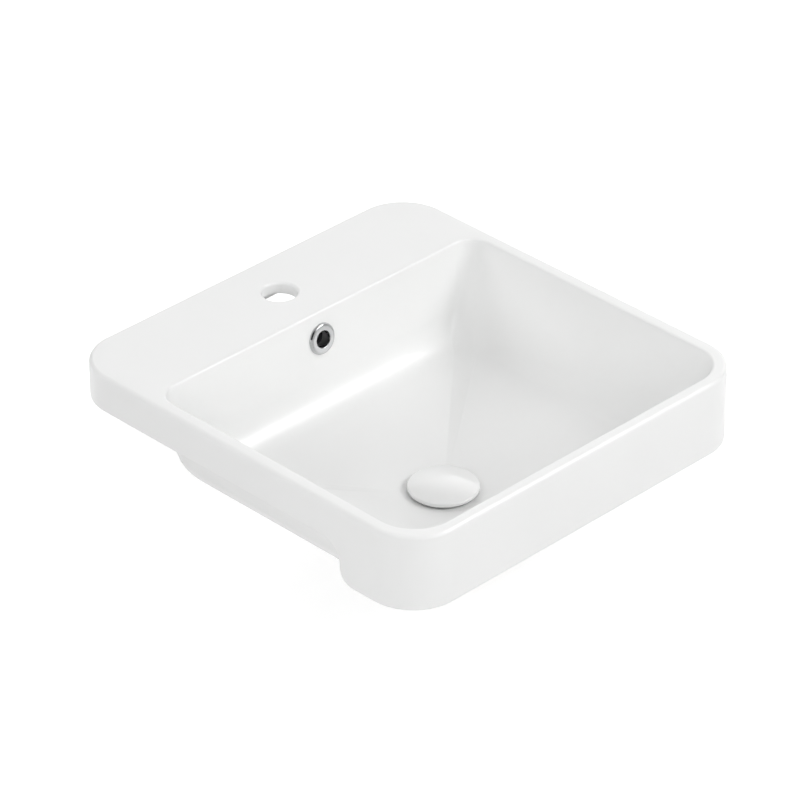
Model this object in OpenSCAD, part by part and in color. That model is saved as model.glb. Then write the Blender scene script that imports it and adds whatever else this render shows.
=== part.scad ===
// Semi-recessed washbasin with one tap hole, an overflow and a push-to-open waste.
// Z is 0 at the counter top, +Z is up, +Y is towards the wall and X is across the basin.

/* [Basin outline] */
// Width of the basin from side to side
basin_w = 455; // [430:1:500]
// Depth of the basin from front to back
basin_d = 470; // [455:1:520]
// Radius of the outer corners seen from above
corner_r = 52; // [40:1:60]
// Height of the rim above the counter
rim_h = 41; // [38:1:55]
// Drop of the front apron below the counter
apron_drop = 41; // [40:1:60]
// Length of the apron's returns along the two sides
apron_return = 97; // [92:1:125]
// Radius of the hollow fillet where a return meets the rim
notch_r = 22; // [14:1:22]
// Radius of a return's lower back corner
heel_r = 17; // [8:1:17]
// Rounding of the rim's outer top edge
edge_r = 4.5; // [3:0.5:6]
// Rounding of the lower edges
foot_r = 2.5; // [1:0.5:3]
// Thickness of the skirt that stands on the counter
skirt_t = 10; // [8:0.5:10.5]

/* [Bowl] */
// Width of the side rims at the bowl's mouth
rim_side = 14; // [12:0.5:20]
// Width of the front rim at the bowl's mouth
rim_front = 12; // [11:0.5:20]
// Depth of the tap deck from the back edge to the bowl
deck_d = 112; // [104:1:130]
// Thickness of the tap deck
deck_t = 14; // [10:0.5:18]
// Thickness of the bowl's wall
wall_t = 11; // [9:0.5:11.5]
// Rounding of the bowl's mouth
lip_r = 2.5; // [2:0.5:5]
// Mouth corner radius at the back
mouth_back_r = 22; // [15:1:40]
// Mouth corner radius at the front
mouth_front_r = 42; // [30:1:55]
// Growth of the front corners' radius from the mouth to the floor
front_growth = 24; // [10:1:30]
// Growth of the back corners' radius from the mouth to the floor
back_growth = -6; // [-6:1:10]
// Lean of the side walls from upright, in degrees
side_lean = 17; // [15:1:22]
// Lean of the front wall from upright, in degrees
front_lean = 18; // [14:1:20]
// Lean of the back wall from upright, in degrees
back_lean = 8; // [5:1:12]
// Depth of the walls from the rim to the floor's curve
wall_depth = 68; // [60:1:76]
// Radius of the curve between wall and floor
cove_r = 40; // [30:1:46]
// Depth of the bowl from the rim to the waste
bowl_depth = 127; // [122:1:135]
// Flat land round the waste, radius
land_r = 38; // [37:0.5:42]

/* [Waste hole, overflow and tap hole] */
// Distance of the waste's centre behind the middle of the mouth
waste_shift = 1.2; // [-8:0.1:10]
// Radius of the waste hole
waste_hole_r = 22.75; // [22.5:0.05:24]
// Radius of the boss round the waste hole
boss_r = 42; // [38:0.5:46]
// Length of the waste hole from the bowl's floor to the boss's face
boss_len = 40; // [36:1:46]
// Radius of the tap hole
tap_hole_r = 17.5; // [16:0.25:18.5]
// Distance of the tap hole's centre from the back edge
tap_setback = 57; // [50:1:62]
// Radius of the overflow hole
overflow_hole_r = 12; // [11.8:0.1:13]
// Depth of the overflow hole's centre below the rim
overflow_drop = 28.5; // [26:0.5:34]
// Width of the overflow duct inside
duct_w = 36; // [28:1:44]
// Gap of the overflow duct behind the bowl's wall
duct_gap = 12; // [9:0.5:14]
// Thickness of the overflow duct's shell
duct_shell = 8; // [6:0.5:10]

/* [Overflow ring] */
// Outer radius of the overflow ring's face
bezel_r = 16.3; // [15:0.1:18]
// Radius of the opening in the overflow ring
bezel_hole_r = 8.8; // [7:0.1:9.2]
// How far the overflow ring stands off the wall
bezel_t = 3; // [2:0.25:4]
// Rounding of the ring's edge into its opening
bezel_edge = 0.8; // [0.4:0.1:1.5]

/* [Waste body] */
// Radius of the waste's flange
flange_r = 32; // [31:0.25:33]
// Thickness of the flange's edge
flange_t = 2.2; // [1.6:0.1:2.6]
// Thickness of the seal under the flange
flange_seal_t = 2; // [1.5:0.1:2.5]
// Radius of the seat that the plug's ring seals in
seat_r = 24; // [23.5:0.1:24.5]
// Depth of that seat below the flange
seat_depth = 7.5; // [7:0.1:8]
// Thickness of the waste's metal wall
metal_t = 2.45; // [2:0.05:3]
// Outer radius of the threaded tube
tube_r = 20.95; // [20:0.05:21.1]
// Length of the waste body from flange to tail
waste_len = 92; // [84:1:110]
// Length of the free tail that takes the trap
tail_len = 30; // [24:1:32]
// Depth of the groove above the tail
tail_groove = 0.7; // [0.4:0.1:1]
// Width of the overflow slots in the tube
slot_w = 9; // [6:0.5:11]
// Length of the overflow slots in the tube
slot_len = 15; // [13:0.5:17]
// Radius of the hub in the middle of the tube
hub_r = 9.5; // [8.5:0.25:10.5]
// Height of the hub and its arms
hub_h = 8; // [6:0.5:10]
// Depth of the hub's top below the flange
hub_top = 45; // [44.5:0.5:48]
// Number of arms that hold the hub
arms = 3; // [3:1:4]
// Width of the arms
arm_w = 4; // [3:0.25:5]
// Number of overflow slots
slots = 4; // [2:2:4]

/* [Fixings under the basin] */
// Height of the tapered rubber gasket
gasket_h = 7; // [5:0.5:8]
// Outer radius of the rubber gasket
gasket_r = 31; // [29:0.5:34]
// Thickness of the slip washer
slip_t = 1.6; // [1:0.1:2.5]
// Size of the back nut across its flats
nut_flats = 58; // [54:1:62]
// Height of the back nut
nut_h = 9; // [7:0.5:10]
// Turned-down part of the back nut's corners
nut_chamfer = 1.6; // [1:0.1:2.5]

/* [Plug] */
// Radius of the ceramic cap
cap_r = 35.3; // [34:0.1:36.5]
// Height of the cap's edge
cap_edge = 4; // [3:0.25:6]
// Rise of the cap's dome above its edge
cap_rise = 4.5; // [2:0.25:7]
// Gap under the closed cap, which the press to open uses up
cap_gap = 2.2; // [2:0.1:3]
// Thickness of the ring seal on the plug
ring_d = 3.2; // [2.6:0.1:3.6]
// Height of the carrier's grooved disc
disc_h = 5.6; // [5.2:0.1:5.8]
// Thickness of the pad under the cap
pad_t = 1; // [0.5:0.1:1.5]
// Size of the lock nut across its flats
lock_flats = 13; // [12:0.5:15]
// Height of the lock nut
lock_h = 2.5; // [2:0.1:2.6]
// Radius of the carrier's top plate
plate_r = 28; // [25:0.5:30]
// Thickness of the carrier's top plate
plate_t = 2; // [1.6:0.1:2.4]
// Press of the cap below its closed place
press = 1.5; // [1:0.1:1.6]
// Rise of the cap from closed to open
lift = 8.5; // [6:0.25:9]

/* [Click mechanism] */
// Radius of the mechanism's housing
housing_r = 9; // [8.6:0.1:9.4]
// Thickness of the housing's wall
housing_t = 1.8; // [1.4:0.1:2]
// Gap between the pressed plug's lock nut and the bonnet
bonnet_gap = 0.5; // [0.3:0.1:1]
// Height of the bonnet above the housing
bonnet_h = 2.5; // [2:0.1:3]
// Depth of the bonnet's thread inside the housing
bonnet_in = 2; // [1.5:0.1:2.5]
// Thickness of the small ring round the spindle
oring_d = 1.6; // [1.2:0.1:1.8]
// Thickness of the washer under the housing
washer_t = 1; // [0.8:0.1:1.5]
// Radius of the spindle that carries the plug
spindle_r = 4; // [3.5:0.1:4.2]
// Radius of the housing's stud in the hub
stud_r = 4.8; // [4:0.1:5.2]
// Height of the toothed crown on the spindle
crown_h = 5; // [4:0.25:6]
// Height of the turning ratchet
ratchet_h = 4.5; // [4:0.25:5]
// Number of ratchet teeth
teeth = 8; // [6:2:12]
// Height of a ratchet tooth
tooth_h = 1.2; // [0.8:0.1:1.4]
// Thickness of the spring's wire
wire_d = 0.8; // [0.6:0.1:1]
// Mean radius of the spring
spring_r = 5; // [4.6:0.1:5.2]
// Turns of the spring
spring_turns = 4; // [3:1:4]

/* [Clearances] */
// Radial running clearance between moving metal parts
run_fit = 0.08; // [0.03:0.01:0.1]
// Clearance round threaded and pushed-in parts
push_fit = 0.1; // [0.05:0.05:0.2]
// Clearance between the plug's ring seal and its seat
seal_gap = 0.3; // [0.2:0.05:0.4]

/* [Hidden] */
$fn = 64;
EPS = 0.01;

// Faces per quarter turn of a plan corner, and rows over each curved stretch of the section
corner_n = 7;
lip_n = 3;
edge_n = 3;
foot_n = 2;
wall_n = 4;
cove_n = 6;
floor_n = 5;

// Angle that the floor falls towards the waste where the cove ends
floor_fall = 17;
// Share of its fall that the floor's middle lies below a straight line's
floor_bow = 0.2;
front_y = -basin_d / 2;
back_y = basin_d / 2;
half_w = basin_w / 2;
mouth_a = half_w - rim_side;
mouth_f = front_y + rim_front;
mouth_b = back_y - deck_d;
drain_y = (mouth_f + mouth_b) / 2 + waste_shift;
drain_z = rim_h - bowl_depth;
leans = [side_lean, front_lean, back_lean];

// A point between p and q
function mix(p, q, t) = p + (q - p) * t;
// A smooth step from 0 to 1
function ease(t) = let (c = max(0, min(1, t))) c * c * (3 - 2 * c);
// Steps from 0 to 1 without the two ends
function inner_steps(n) = [for (k = [1:n - 1]) k / n];

// The notch at the back of each return from the front on: place in Y and Z, then the way out of the clay
notch_y = front_y + apron_return;
heel_path = [for (k = [0:5]) let (t = -90 + 18 * k)
  [notch_y - heel_r + heel_r * cos(t), -apron_drop + heel_r + heel_r * sin(t), cos(t), sin(t)]];
fillet_path = [for (k = [0:6]) let (t = 180 - 15 * k)
  [notch_y + notch_r + notch_r * cos(t), -notch_r + notch_r * sin(t), -cos(t), -sin(t)]];
path_start = notch_y - heel_r;
path_end = notch_y + notch_r;
side_start = front_y + corner_r;
side_end = back_y - corner_r;
front_path = [[(side_start + path_start) / 2, -apron_drop, 0, -1]];
rear_path = [for (s = inner_steps(7)) [mix(path_end, side_end, s), 0, 0, -1]];
side_path = concat(front_path, heel_path, fillet_path, rear_path);
path_n = len(side_path);
first_step = len(front_path);
last_step = first_step + len(heel_path) + len(fillet_path) - 1;
// Even places along the side for the path's points, so that no two share one above the notch
side_even = [for (k = [0:path_n - 1]) k < first_step || k > last_step ? side_path[k][0]
  : mix(path_start, path_end, (k - first_step) / (last_step - first_step))];
side_share = [for (y = side_even) (y - side_start) / (side_end - side_start)];

front_share = inner_steps(4);
back_share = inner_steps(8);
arc_steps = [for (k = [0:corner_n]) k / corner_n];

// A rounded outline from the middle of the front, anticlockwise seen from above:
// half width a, front f, back b, front corner radius rf and back corner radius rb
function outline(a, f, b, rf, rb) = concat(
  [[0, f]],
  [for (s = front_share) [s * (a - rf), f]],
  [for (s = arc_steps) [a - rf + rf * sin(90 * s), f + rf - rf * cos(90 * s)]],
  [for (s = side_share) [a, mix(f + rf, b - rb, s)]],
  [for (s = arc_steps) [a - rb + rb * cos(90 * s), b - rb + rb * sin(90 * s)]],
  [for (s = back_share) [(a - rb) * (1 - 2 * s), b]],
  [for (s = arc_steps) [-(a - rb) - rb * sin(90 * s), b - rb + rb * cos(90 * s)]],
  [for (k = [path_n - 1:-1:0]) [-a, mix(f + rf, b - rb, side_share[k])]],
  [for (s = arc_steps) [-(a - rf) - rf * cos(90 * s), f + rf - rf * sin(90 * s)]],
  [for (k = [len(front_share) - 1:-1:0]) [-front_share[k] * (a - rf), f]]);

// How much of the side, front and back wall each point of an outline belongs to
front_w = [0, 1, 0];
side_w = [1, 0, 0];
back_w = [0, 0, 1];
weights = concat(
  [front_w],
  [for (s = front_share) front_w],
  [for (s = arc_steps) mix(front_w, side_w, s)],
  [for (s = side_share) side_w],
  [for (s = arc_steps) mix(side_w, back_w, s)],
  [for (s = back_share) back_w],
  [for (s = arc_steps) mix(back_w, side_w, s)],
  [for (s = side_share) side_w],
  [for (s = arc_steps) mix(side_w, front_w, s)],
  [for (s = front_share) front_w]);
points_n = len(weights);

// Lower edge of the skirt at each point: [height, Y, way out in Y, way out in Z, 1 on a side]
function flat_foot(z) = [z, 0, 0, -1, 0];
function side_foot(p) = [p[1], p[0], p[2], p[3], 1];
feet = concat(
  [flat_foot(-apron_drop)],
  [for (s = front_share) flat_foot(-apron_drop)],
  [for (s = arc_steps) flat_foot(-apron_drop)],
  [for (p = side_path) side_foot(p)],
  [for (s = arc_steps) flat_foot(0)],
  [for (s = back_share) flat_foot(0)],
  [for (s = arc_steps) flat_foot(0)],
  [for (k = [path_n - 1:-1:0]) side_foot(side_path[k])],
  [for (s = arc_steps) flat_foot(-apron_drop)],
  [for (s = front_share) flat_foot(-apron_drop)]);

// The skirt's outline, inset by e
function skirt_outline(e) = outline(half_w - e, front_y + e, back_y - e, corner_r - e, corner_r - e);
// The skirt at an inset and a height that is the same all round
function skirt_ring(e, z) = [for (p = skirt_outline(e)) [p[0], p[1], z]];
// The skirt's lower edge at an inset, drawn back into the clay by a lift
function foot_ring(e, lift) = let (o = skirt_outline(e)) [for (j = [0:points_n - 1]) let (g = feet[j])
  g[4] == 1 ? [o[j][0], g[1] - g[2] * lift, g[0] - g[3] * lift] : [o[j][0], o[j][1], g[0] + lift]];

// A wall's section, as [inset from the mouth, depth below the rim], at a depth down its straight stretch
function wall_at(lean, d, off) = [tan(lean) * d - off * cos(lean), d + off * sin(lean)];
// The same where the cove has turned to an angle t from upright
function cove_at(lean, t, off) = [tan(lean) * wall_depth + cove_r * (cos(lean) - cos(t)) - off * cos(t),
  wall_depth + cove_r * (sin(t) - sin(lean)) + off * sin(t)];
// The lip, which turns from the wall to level
function lip_at(lean, t) = let (d = lip_r * (1 - sin(lean)))
  [tan(lean) * d - lip_r * (cos(lean) - cos(t)), d - lip_r * (sin(t) - sin(lean))];

// One ring of the bowl from the three walls' sections, with the corners grown by a share and an offset
function bowl_ring(secs, grow, off) =
  let (o = outline(mouth_a - secs[0][0], mouth_f + secs[1][0], mouth_b - secs[2][0],
        mouth_front_r + front_growth * grow + off, mouth_back_r + back_growth * grow + off),
       deps = [secs[0][1], secs[1][1], secs[2][1]])
  [for (j = [0:points_n - 1]) [o[j][0], o[j][1], rim_h - weights[j] * deps]];
function wall_ring(d, off) =
  bowl_ring([for (l = leans) wall_at(l, d, off)], d / (wall_depth + cove_r), off);
function cove_ring(s, off) = bowl_ring([for (l = leans) cove_at(l, mix(l, 90 - floor_fall, s), off)],
  mix(wall_depth / (wall_depth + cove_r), 1, s), off);
function lip_ring(s) = bowl_ring([for (l = leans) lip_at(l, mix(l, 90, s))], 0, 0);

// The floor between the cove's end and the land round the waste, at a share s of the way in
function floor_ring(s, off) = let (c = cove_ring(1, off), r = land_r + off / 2, z = drain_z - off)
  [for (p = c) let (v = [p[0], p[1] - drain_y], q = v * r / norm(v))
    [mix(v[0], q[0], s), drain_y + mix(v[1], q[1], s), mix(p[2], z, s * (1 + floor_bow - floor_bow * s))]];
function hole_ring(r, z) = [for (p = cove_ring(1, 0)) let (v = [p[0], p[1] - drain_y], q = v * r / norm(v))
  [q[0], drain_y + q[1], z]];

// Radius of the skin's two end rings, inside the hole that is cut later
skin_hole_r = waste_hole_r - 3;

// Underside of the rim between skirt and bowl: low over the walls, high under the tap deck
groove_drop = 32;
groove_z = rim_h - groove_drop;
// Where the ceiling starts to rise in front of the deck, and over what length
rise_start = 20;
rise_len = 50;
deck_z = rim_h - deck_t;
lip_depth = lip_r * (1 - sin(side_lean));
ceiling_outer = let (o = skirt_outline(skirt_t)) [for (j = [0:points_n - 1]) let (p = o[j])
  [p[0], p[1], mix(groove_z, deck_z, ease((p[1] - mouth_b + rise_start) / rise_len))]];
ceiling_inner = let (low = wall_ring(rim_h - groove_z, wall_t), high = wall_ring(deck_t, wall_t))
  [for (j = [0:points_n - 1]) let (s = ease(weights[j][2])) mix(low[j], high[j], s)];
// The bowl's outside between the ceiling and the cove, at a share s of the way down
function outer_wall_ring(s) = let (low = wall_ring(wall_depth, wall_t))
  [for (j = [0:points_n - 1]) mix(ceiling_inner[j], low[j], s)];

bowl_rings = concat(
  [hole_ring(skin_hole_r, drain_z)],
  [for (k = [floor_n:-1:1]) floor_ring(k / floor_n, 0)],
  [for (k = [cove_n:-1:0]) cove_ring(k / cove_n, 0)],
  [for (k = [wall_n - 1:-1:1]) wall_ring(mix(lip_depth, wall_depth, k / wall_n), 0)],
  [for (k = [0:lip_n]) lip_ring(k / lip_n)]);
skirt_rings = concat(
  [for (k = [0:edge_n]) let (t = 90 * k / edge_n)
    skirt_ring(edge_r * (1 - sin(t)), rim_h - edge_r * (1 - cos(t)))],
  [for (k = [0:foot_n]) let (t = 90 * k / foot_n) foot_ring(foot_r * (1 - cos(t)), foot_r * (1 - sin(t)))],
  [for (k = [0:foot_n]) let (t = 90 * k / foot_n)
    foot_ring(skirt_t - foot_r * (1 - sin(t)), foot_r * (1 - cos(t)))],
  [ceiling_outer]);
under_rings = concat(
  [for (k = [0:2]) outer_wall_ring(k / 2)],
  [for (k = [1:cove_n]) cove_ring(k / cove_n, wall_t)],
  [for (k = [1:floor_n - 1]) floor_ring(k / floor_n, wall_t)],
  [hole_ring(skin_hole_r, drain_z - wall_t)]);

// A closed skin over a list of rings, with the first and the last ring filled in
module ring_skin(rings) {
  n = len(rings[0]);
  m = len(rings);
  sides = [for (i = [0:m - 2], j = [0:n - 1]) let (a = i * n + j, b = i * n + (j + 1) % n)
    each [[a, b, b + n], [a, b + n, a + n]]];
  polyhedron(points = [for (r = rings) each r],
    faces = concat(sides, [[for (j = [n - 1:-1:0]) j]], [[for (j = [0:n - 1]) (m - 1) * n + j]]));
}

// The back wall's section in Y and Z from the ceiling to the waste, offset outwards
duct_cover = 4;
duct_top = deck_t - duct_cover;
function back_line(off, end_y) = concat(
  [for (d = [duct_top, wall_depth]) let (p = wall_at(back_lean, d, off)) [mouth_b - p[0], rim_h - p[1]]],
  [for (k = [1:cove_n]) let (p = cove_at(back_lean, mix(back_lean, 90 - floor_fall, k / cove_n), off))
    [mouth_b - p[0], rim_h - p[1]]],
  [[drain_y + land_r, drain_z - off], [end_y, drain_z - off]]);

// A slab of the back wall's section between two offsets, w wide
module back_slab(near, far, w, end_y) {
  line_near = back_line(near, end_y);
  line_far = back_line(far, end_y);
  rotate([90, 0, 90])
    linear_extrude(height = w, center = true)
      polygon(concat(line_near, [for (k = [len(line_far) - 1:-1:0]) line_far[k]]));
}

duct_out = wall_t + duct_gap + duct_shell;
overflow_y = mouth_b - tan(back_lean) * overflow_drop;
overflow_z = rim_h - overflow_drop;

// Puts its children on the back wall with +Z out of the wall
module on_back_wall() {
  translate([0, overflow_y, overflow_z])
    rotate([90 - back_lean, 0, 0])
      children();
}

// Puts its children on the waste's axis with Z = 0 at the bowl's floor
module at_drain() {
  translate([0, drain_y, drain_z])
    children();
}

// Sizes of the waste that several pieces share, from the floor down
dish_r = seat_r + metal_t;
bore_r = tube_r - metal_t;
flange_seat = flange_t + flange_seal_t;
seat_lip = 1;
cone_len = 5.5;
dish_end = seat_depth + seat_lip;
cone_end = dish_end + cone_len;
recess_gap = 0.7;
dish_gap = 1.1;
dish_under = 1;
cone_under = 1.5;
washer_r = 27.5;
slot_top = cone_end + 1;
tail_top = waste_len - tail_len;
groove_len = 2;

// Heights of the plug's and the mechanism's pieces from the bowl's floor, with the plug closed
disc_top = -0.4;
disc_z = disc_top - disc_h;
plate_z = cap_gap + 0.2;
bonnet_top = disc_z - lock_h - press - bonnet_gap;
bonnet_foot = -bonnet_top + bonnet_h;
housing_foot = hub_top - washer_t;
housing_len = housing_foot - bonnet_foot;
housing_floor = 2;
housing_in = housing_r - housing_t;
crown_r = housing_in - 0.6;
crown_gap = 0.3;
tooth_gap = 0.3;
crown_z = -bonnet_foot - bonnet_in - crown_gap - lift - crown_h;
ratchet_z = crown_z - tooth_gap - ratchet_h;
ratchet_hole = 2.5;

// The clay body: bowl, rim, tap deck, skirt with its deep front apron, waste boss and overflow duct
module basin_body() {
  color([0.96, 0.96, 0.95])
    difference() {
      union() {
        ring_skin(concat(bowl_rings, skirt_rings, under_rings));
        translate([0, drain_y, drain_z - boss_len])
          cylinder(h = boss_len - wall_t / 2, r = boss_r);
        back_slab(wall_t / 2, duct_out, duct_w + 2 * duct_shell, drain_y);
      }
      back_slab(wall_t, wall_t + duct_gap, duct_w, drain_y);
      translate([0, back_y - tap_setback, deck_z - 1])
        cylinder(h = deck_t + 2, r = tap_hole_r);
      on_back_wall()
        translate([0, 0, -wall_t - duct_gap / 2])
          cylinder(h = wall_t + duct_gap / 2 + 2, r = overflow_hole_r);
      at_drain()
        rotate_extrude()
          polygon([[0, 1], [flange_r + recess_gap, 1], [flange_r + recess_gap, -flange_seat],
            [dish_r + dish_gap, -flange_seat], [dish_r + dish_gap, -dish_end - dish_under],
            [waste_hole_r, -cone_end - cone_under],
            [waste_hole_r, -boss_len - 1], [0, -boss_len - 1]]);
    }
}

// The chromed trim ring round the overflow: a flat face with round edges and a spigot for the sleeve
spigot_wall = 1.6;
spigot_len = 8;
module overflow_ring() {
  color([0.78, 0.79, 0.8])
    on_back_wall()
      rotate_extrude()
        polygon(concat(
          [[bezel_hole_r, -spigot_len], [bezel_hole_r + spigot_wall, -spigot_len],
            [bezel_hole_r + spigot_wall, 0], [bezel_r, 0]],
          [for (k = [0:6]) let (t = 15 * k) [bezel_r - bezel_t * (1 - cos(t)), bezel_t * sin(t)]],
          [for (k = [0:4]) let (t = 22.5 * k)
            [bezel_hole_r + bezel_edge * (1 - sin(t)), bezel_t - bezel_edge * (1 - cos(t))]]));
}

// The plastic sleeve behind the ring: a split tube whose barbs spread behind the wall
sleeve_in = bezel_hole_r + spigot_wall + push_fit;
sleeve_slot = 2.4;
barb_out = 0.7;
barb_near = 0.3;
barb_len = 2.5;
sleeve_end = -wall_t - 3 * barb_near - barb_len;
module overflow_sleeve() {
  color([0.9, 0.9, 0.88])
    on_back_wall()
      difference() {
        rotate_extrude()
          polygon([[sleeve_in, 0], [overflow_hole_r - push_fit, 0],
            [overflow_hole_r - push_fit, -wall_t - barb_near],
            [overflow_hole_r + barb_out, -wall_t - 3 * barb_near], [sleeve_in + barb_near, sleeve_end],
            [sleeve_in, sleeve_end]]);
        for (a = [0, 90])
          rotate([0, 0, a])
            translate([-2 * overflow_hole_r, -sleeve_slot / 2, sleeve_end - 1])
              cube([4 * overflow_hole_r, sleeve_slot, wall_t]);
      }
}

// A ring of round section
module torus(r, tube) {
  rotate_extrude()
    translate([r, 0])
      circle(r = tube, $fn = 24);
}

// A turned ring between two radii, from z down to z - h, with its two outer edges broken
module turned_ring(inner, outer, z, h, broken) {
  rotate_extrude()
    polygon([[inner, z], [outer - broken, z], [outer, z - broken],
      [outer, z - h + broken], [outer - broken, z - h], [inner, z - h]]);
}

// The brass waste: dished flange, seat for the plug, four overflow slots, bridge and threaded tail
module waste_body() {
  flange_edge = 0.8;
  color([0.8, 0.8, 0.82])
    at_drain()
      union() {
        difference() {
          rotate_extrude()
            polygon(concat(
              [[seat_r + seat_lip, 0], [flange_r - flange_edge, 0], [flange_r, -flange_edge],
               [flange_r, -flange_t],
                [dish_r, -flange_t], [dish_r, -dish_end], [tube_r, -cone_end],
                [tube_r, -tail_top + groove_len], [tube_r - tail_groove, -tail_top + groove_len],
                [tube_r - tail_groove, -tail_top], [tube_r, -tail_top], [tube_r, -waste_len + flange_edge],
                [tube_r - flange_edge, -waste_len], [bore_r, -waste_len], [bore_r, -cone_end + seat_lip],
                [seat_r, -seat_depth], [seat_r, -seat_lip]]));
          for (k = [0:slots - 1])
            rotate([0, 0, 90 + 360 * k / slots])
              translate([bore_r - 3, 0, -slot_top - slot_len / 2])
                rotate([0, 90, 0])
                  linear_extrude(height = metal_t + 6)
                    slot_shape();
        }
        difference() {
          bridge();
          translate([0, 0, -hub_top - hub_h - 1])
            cylinder(h = hub_h + 2, r = stud_r + push_fit);
        }
      }
}

// A round-ended slot with its long way along X, which the tube turns upright
module slot_shape() {
  straight = slot_len - slot_w;
  square([straight, slot_w], center = true);
  for (side = [-1, 1])
    translate([side * straight / 2, 0])
      circle(d = slot_w, $fn = 32);
}

// The hub and arms across the bore that carry the click mechanism
module bridge() {
  translate([0, 0, -hub_top - hub_h]) {
    cylinder(h = hub_h, r = hub_r);
    for (k = [0:arms - 1])
      rotate([0, 0, 30 + 360 * k / arms])
        translate([stud_r + 2, -arm_w / 2, 0])
          cube([bore_r + metal_t / 2 - stud_r - 2, arm_w, hub_h]);
  }
}

// Rubber washer between the flange and its seat in the clay
module flange_seal() {
  color([0.16, 0.16, 0.17])
    at_drain()
      turned_ring(dish_r + push_fit, flange_r - 0.6, -flange_t, flange_seal_t, 0.3);
}

// Tapered rubber gasket pressed up against the boss, with a nose in the gap round the tube
module rubber_gasket() {
  nose = 3;
  broken = 0.8;
  bottom = -boss_len - gasket_h;
  nose_r = waste_hole_r - seal_gap;
  color([0.14, 0.14, 0.15])
    at_drain()
      rotate_extrude()
        polygon([[tube_r + push_fit, nose - boss_len], [nose_r - broken, nose - boss_len],
          [nose_r, -boss_len], [gasket_r - broken, -boss_len], [gasket_r, -boss_len - broken],
          [gasket_r, -boss_len - gasket_h / 2], [washer_r, bottom], [tube_r + push_fit, bottom]]);
}

// Thin plastic washer that lets the nut turn under the gasket
module slip_washer() {
  color([0.86, 0.86, 0.84])
    at_drain()
      turned_ring(tube_r + seal_gap, washer_r, -boss_len - gasket_h, slip_t, 0.2);
}

// Six-sided back nut with turned-down corners
module back_nut() {
  corner = nut_flats / 2 / cos(30);
  color([0.72, 0.6, 0.34])
    at_drain()
      translate([0, 0, -boss_len - gasket_h - slip_t])
        difference() {
          intersection() {
            translate([0, 0, -nut_h])
              cylinder(h = nut_h, r = corner, $fn = 6);
            turned_ring(tube_r + run_fit, corner + 0.4, 0, nut_h, nut_chamfer);
          }
        }
}

// The click mechanism's brass barrel, with a floor for the spring and a stud for the bridge
module mechanism_housing() {
  stud_end = hub_h + 1.5;
  color([0.76, 0.64, 0.38])
    at_drain()
      translate([0, 0, -housing_foot])
        rotate_extrude()
          polygon([[0, -stud_end - washer_t], [stud_r - 0.6, -stud_end - washer_t],
            [stud_r, -stud_end - washer_t + 0.6], [stud_r, 0], [housing_r - 0.5, 0], [housing_r, 0.5],
            [housing_r, housing_len], [housing_in, housing_len], [housing_in, housing_floor],
            [0, housing_floor]]);
}

// Washer between the barrel and the bridge
module housing_washer() {
  color([0.7, 0.28, 0.22])
    at_drain()
      turned_ring(stud_r + seal_gap, housing_r + 0.3, -hub_top + washer_t, washer_t, 0.1);
}

// Screwed bonnet that closes the barrel and guides the spindle
module housing_bonnet() {
  top = bonnet_h;
  groove_top = (top - bonnet_in + oring_d) / 2 + 0.05;
  hole = spindle_r + run_fit;
  color([0.78, 0.67, 0.42])
    at_drain()
      translate([0, 0, -bonnet_foot])
        rotate_extrude()
          polygon([[hole, top], [housing_r - 0.6, top], [housing_r, top - 0.6], [housing_r, 0],
            [housing_in - push_fit, 0], [housing_in - push_fit, -bonnet_in], [hole, -bonnet_in],
            [hole, groove_top - oring_d - 0.1], [hole + oring_d, groove_top - oring_d - 0.1],
            [hole + oring_d, groove_top], [hole, groove_top]]);
}

// Small rubber ring round the spindle, in the bonnet's groove
module spindle_seal() {
  color([0.15, 0.15, 0.16])
    at_drain()
      translate([0, 0, -bonnet_foot + (bonnet_h - bonnet_in) / 2])
        torus(spindle_r + run_fit + oring_d / 2, oring_d / 2);
}

// The coil spring under the ratchet: one unbroken tube of eight-sided rings with closed ends
spring_rings = 24;
spring_sides = 8;
spring_low = -housing_foot + housing_floor + wire_d / 2;
spring_high = ratchet_z - wire_d / 2;
spring_pitch = (spring_high - spring_low) / spring_turns;
function spring_centre(a) = [spring_r * cos(a), spring_r * sin(a), spring_low + spring_pitch * a / 360];
function spring_ring_at(a) = let (climb = atan(spring_pitch / (2 * PI * spring_r)))
  [for (k = [0:spring_sides - 1])
    let (t = 360 * k / spring_sides, out = wire_d / 2 * cos(t), up = wire_d / 2 * sin(t))
    spring_centre(a) + [out * cos(a) + up * sin(climb) * sin(a), out * sin(a) - up * sin(climb) * cos(a),
      up * cos(climb)]];
spring_line = [for (k = [0:spring_turns * spring_rings]) spring_ring_at(360 * k / spring_rings)];
// Least gap of the spring to itself, measured between points of rings half a turn or more apart
spring_gap = min([for (i = [0:len(spring_line) - 1])
  for (j = [i + spring_rings / 2:1:min(len(spring_line) - 1, i + 3 * spring_rings / 2)])
    for (p = spring_line[i]) for (q = spring_line[j]) norm(p - q)]);
echo(spring_gap = spring_gap);
module click_spring() {
  color([0.62, 0.63, 0.65])
    at_drain()
      ring_tube(spring_line);
}

// A closed tube over rings of points that follow its line
module ring_tube(rings) {
  n = len(rings[0]);
  m = len(rings);
  sides = [for (i = [0:m - 2], j = [0:n - 1]) let (a = i * n + j, b = i * n + (j + 1) % n)
    each [[a, b, a + n], [b, b + n, a + n]]];
  polyhedron(points = [for (r = rings) each r],
    faces = concat(sides, [[for (j = [n - 1:-1:0]) j]], [[for (j = [0:n - 1]) (m - 1) * n + j]]));
}

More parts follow.
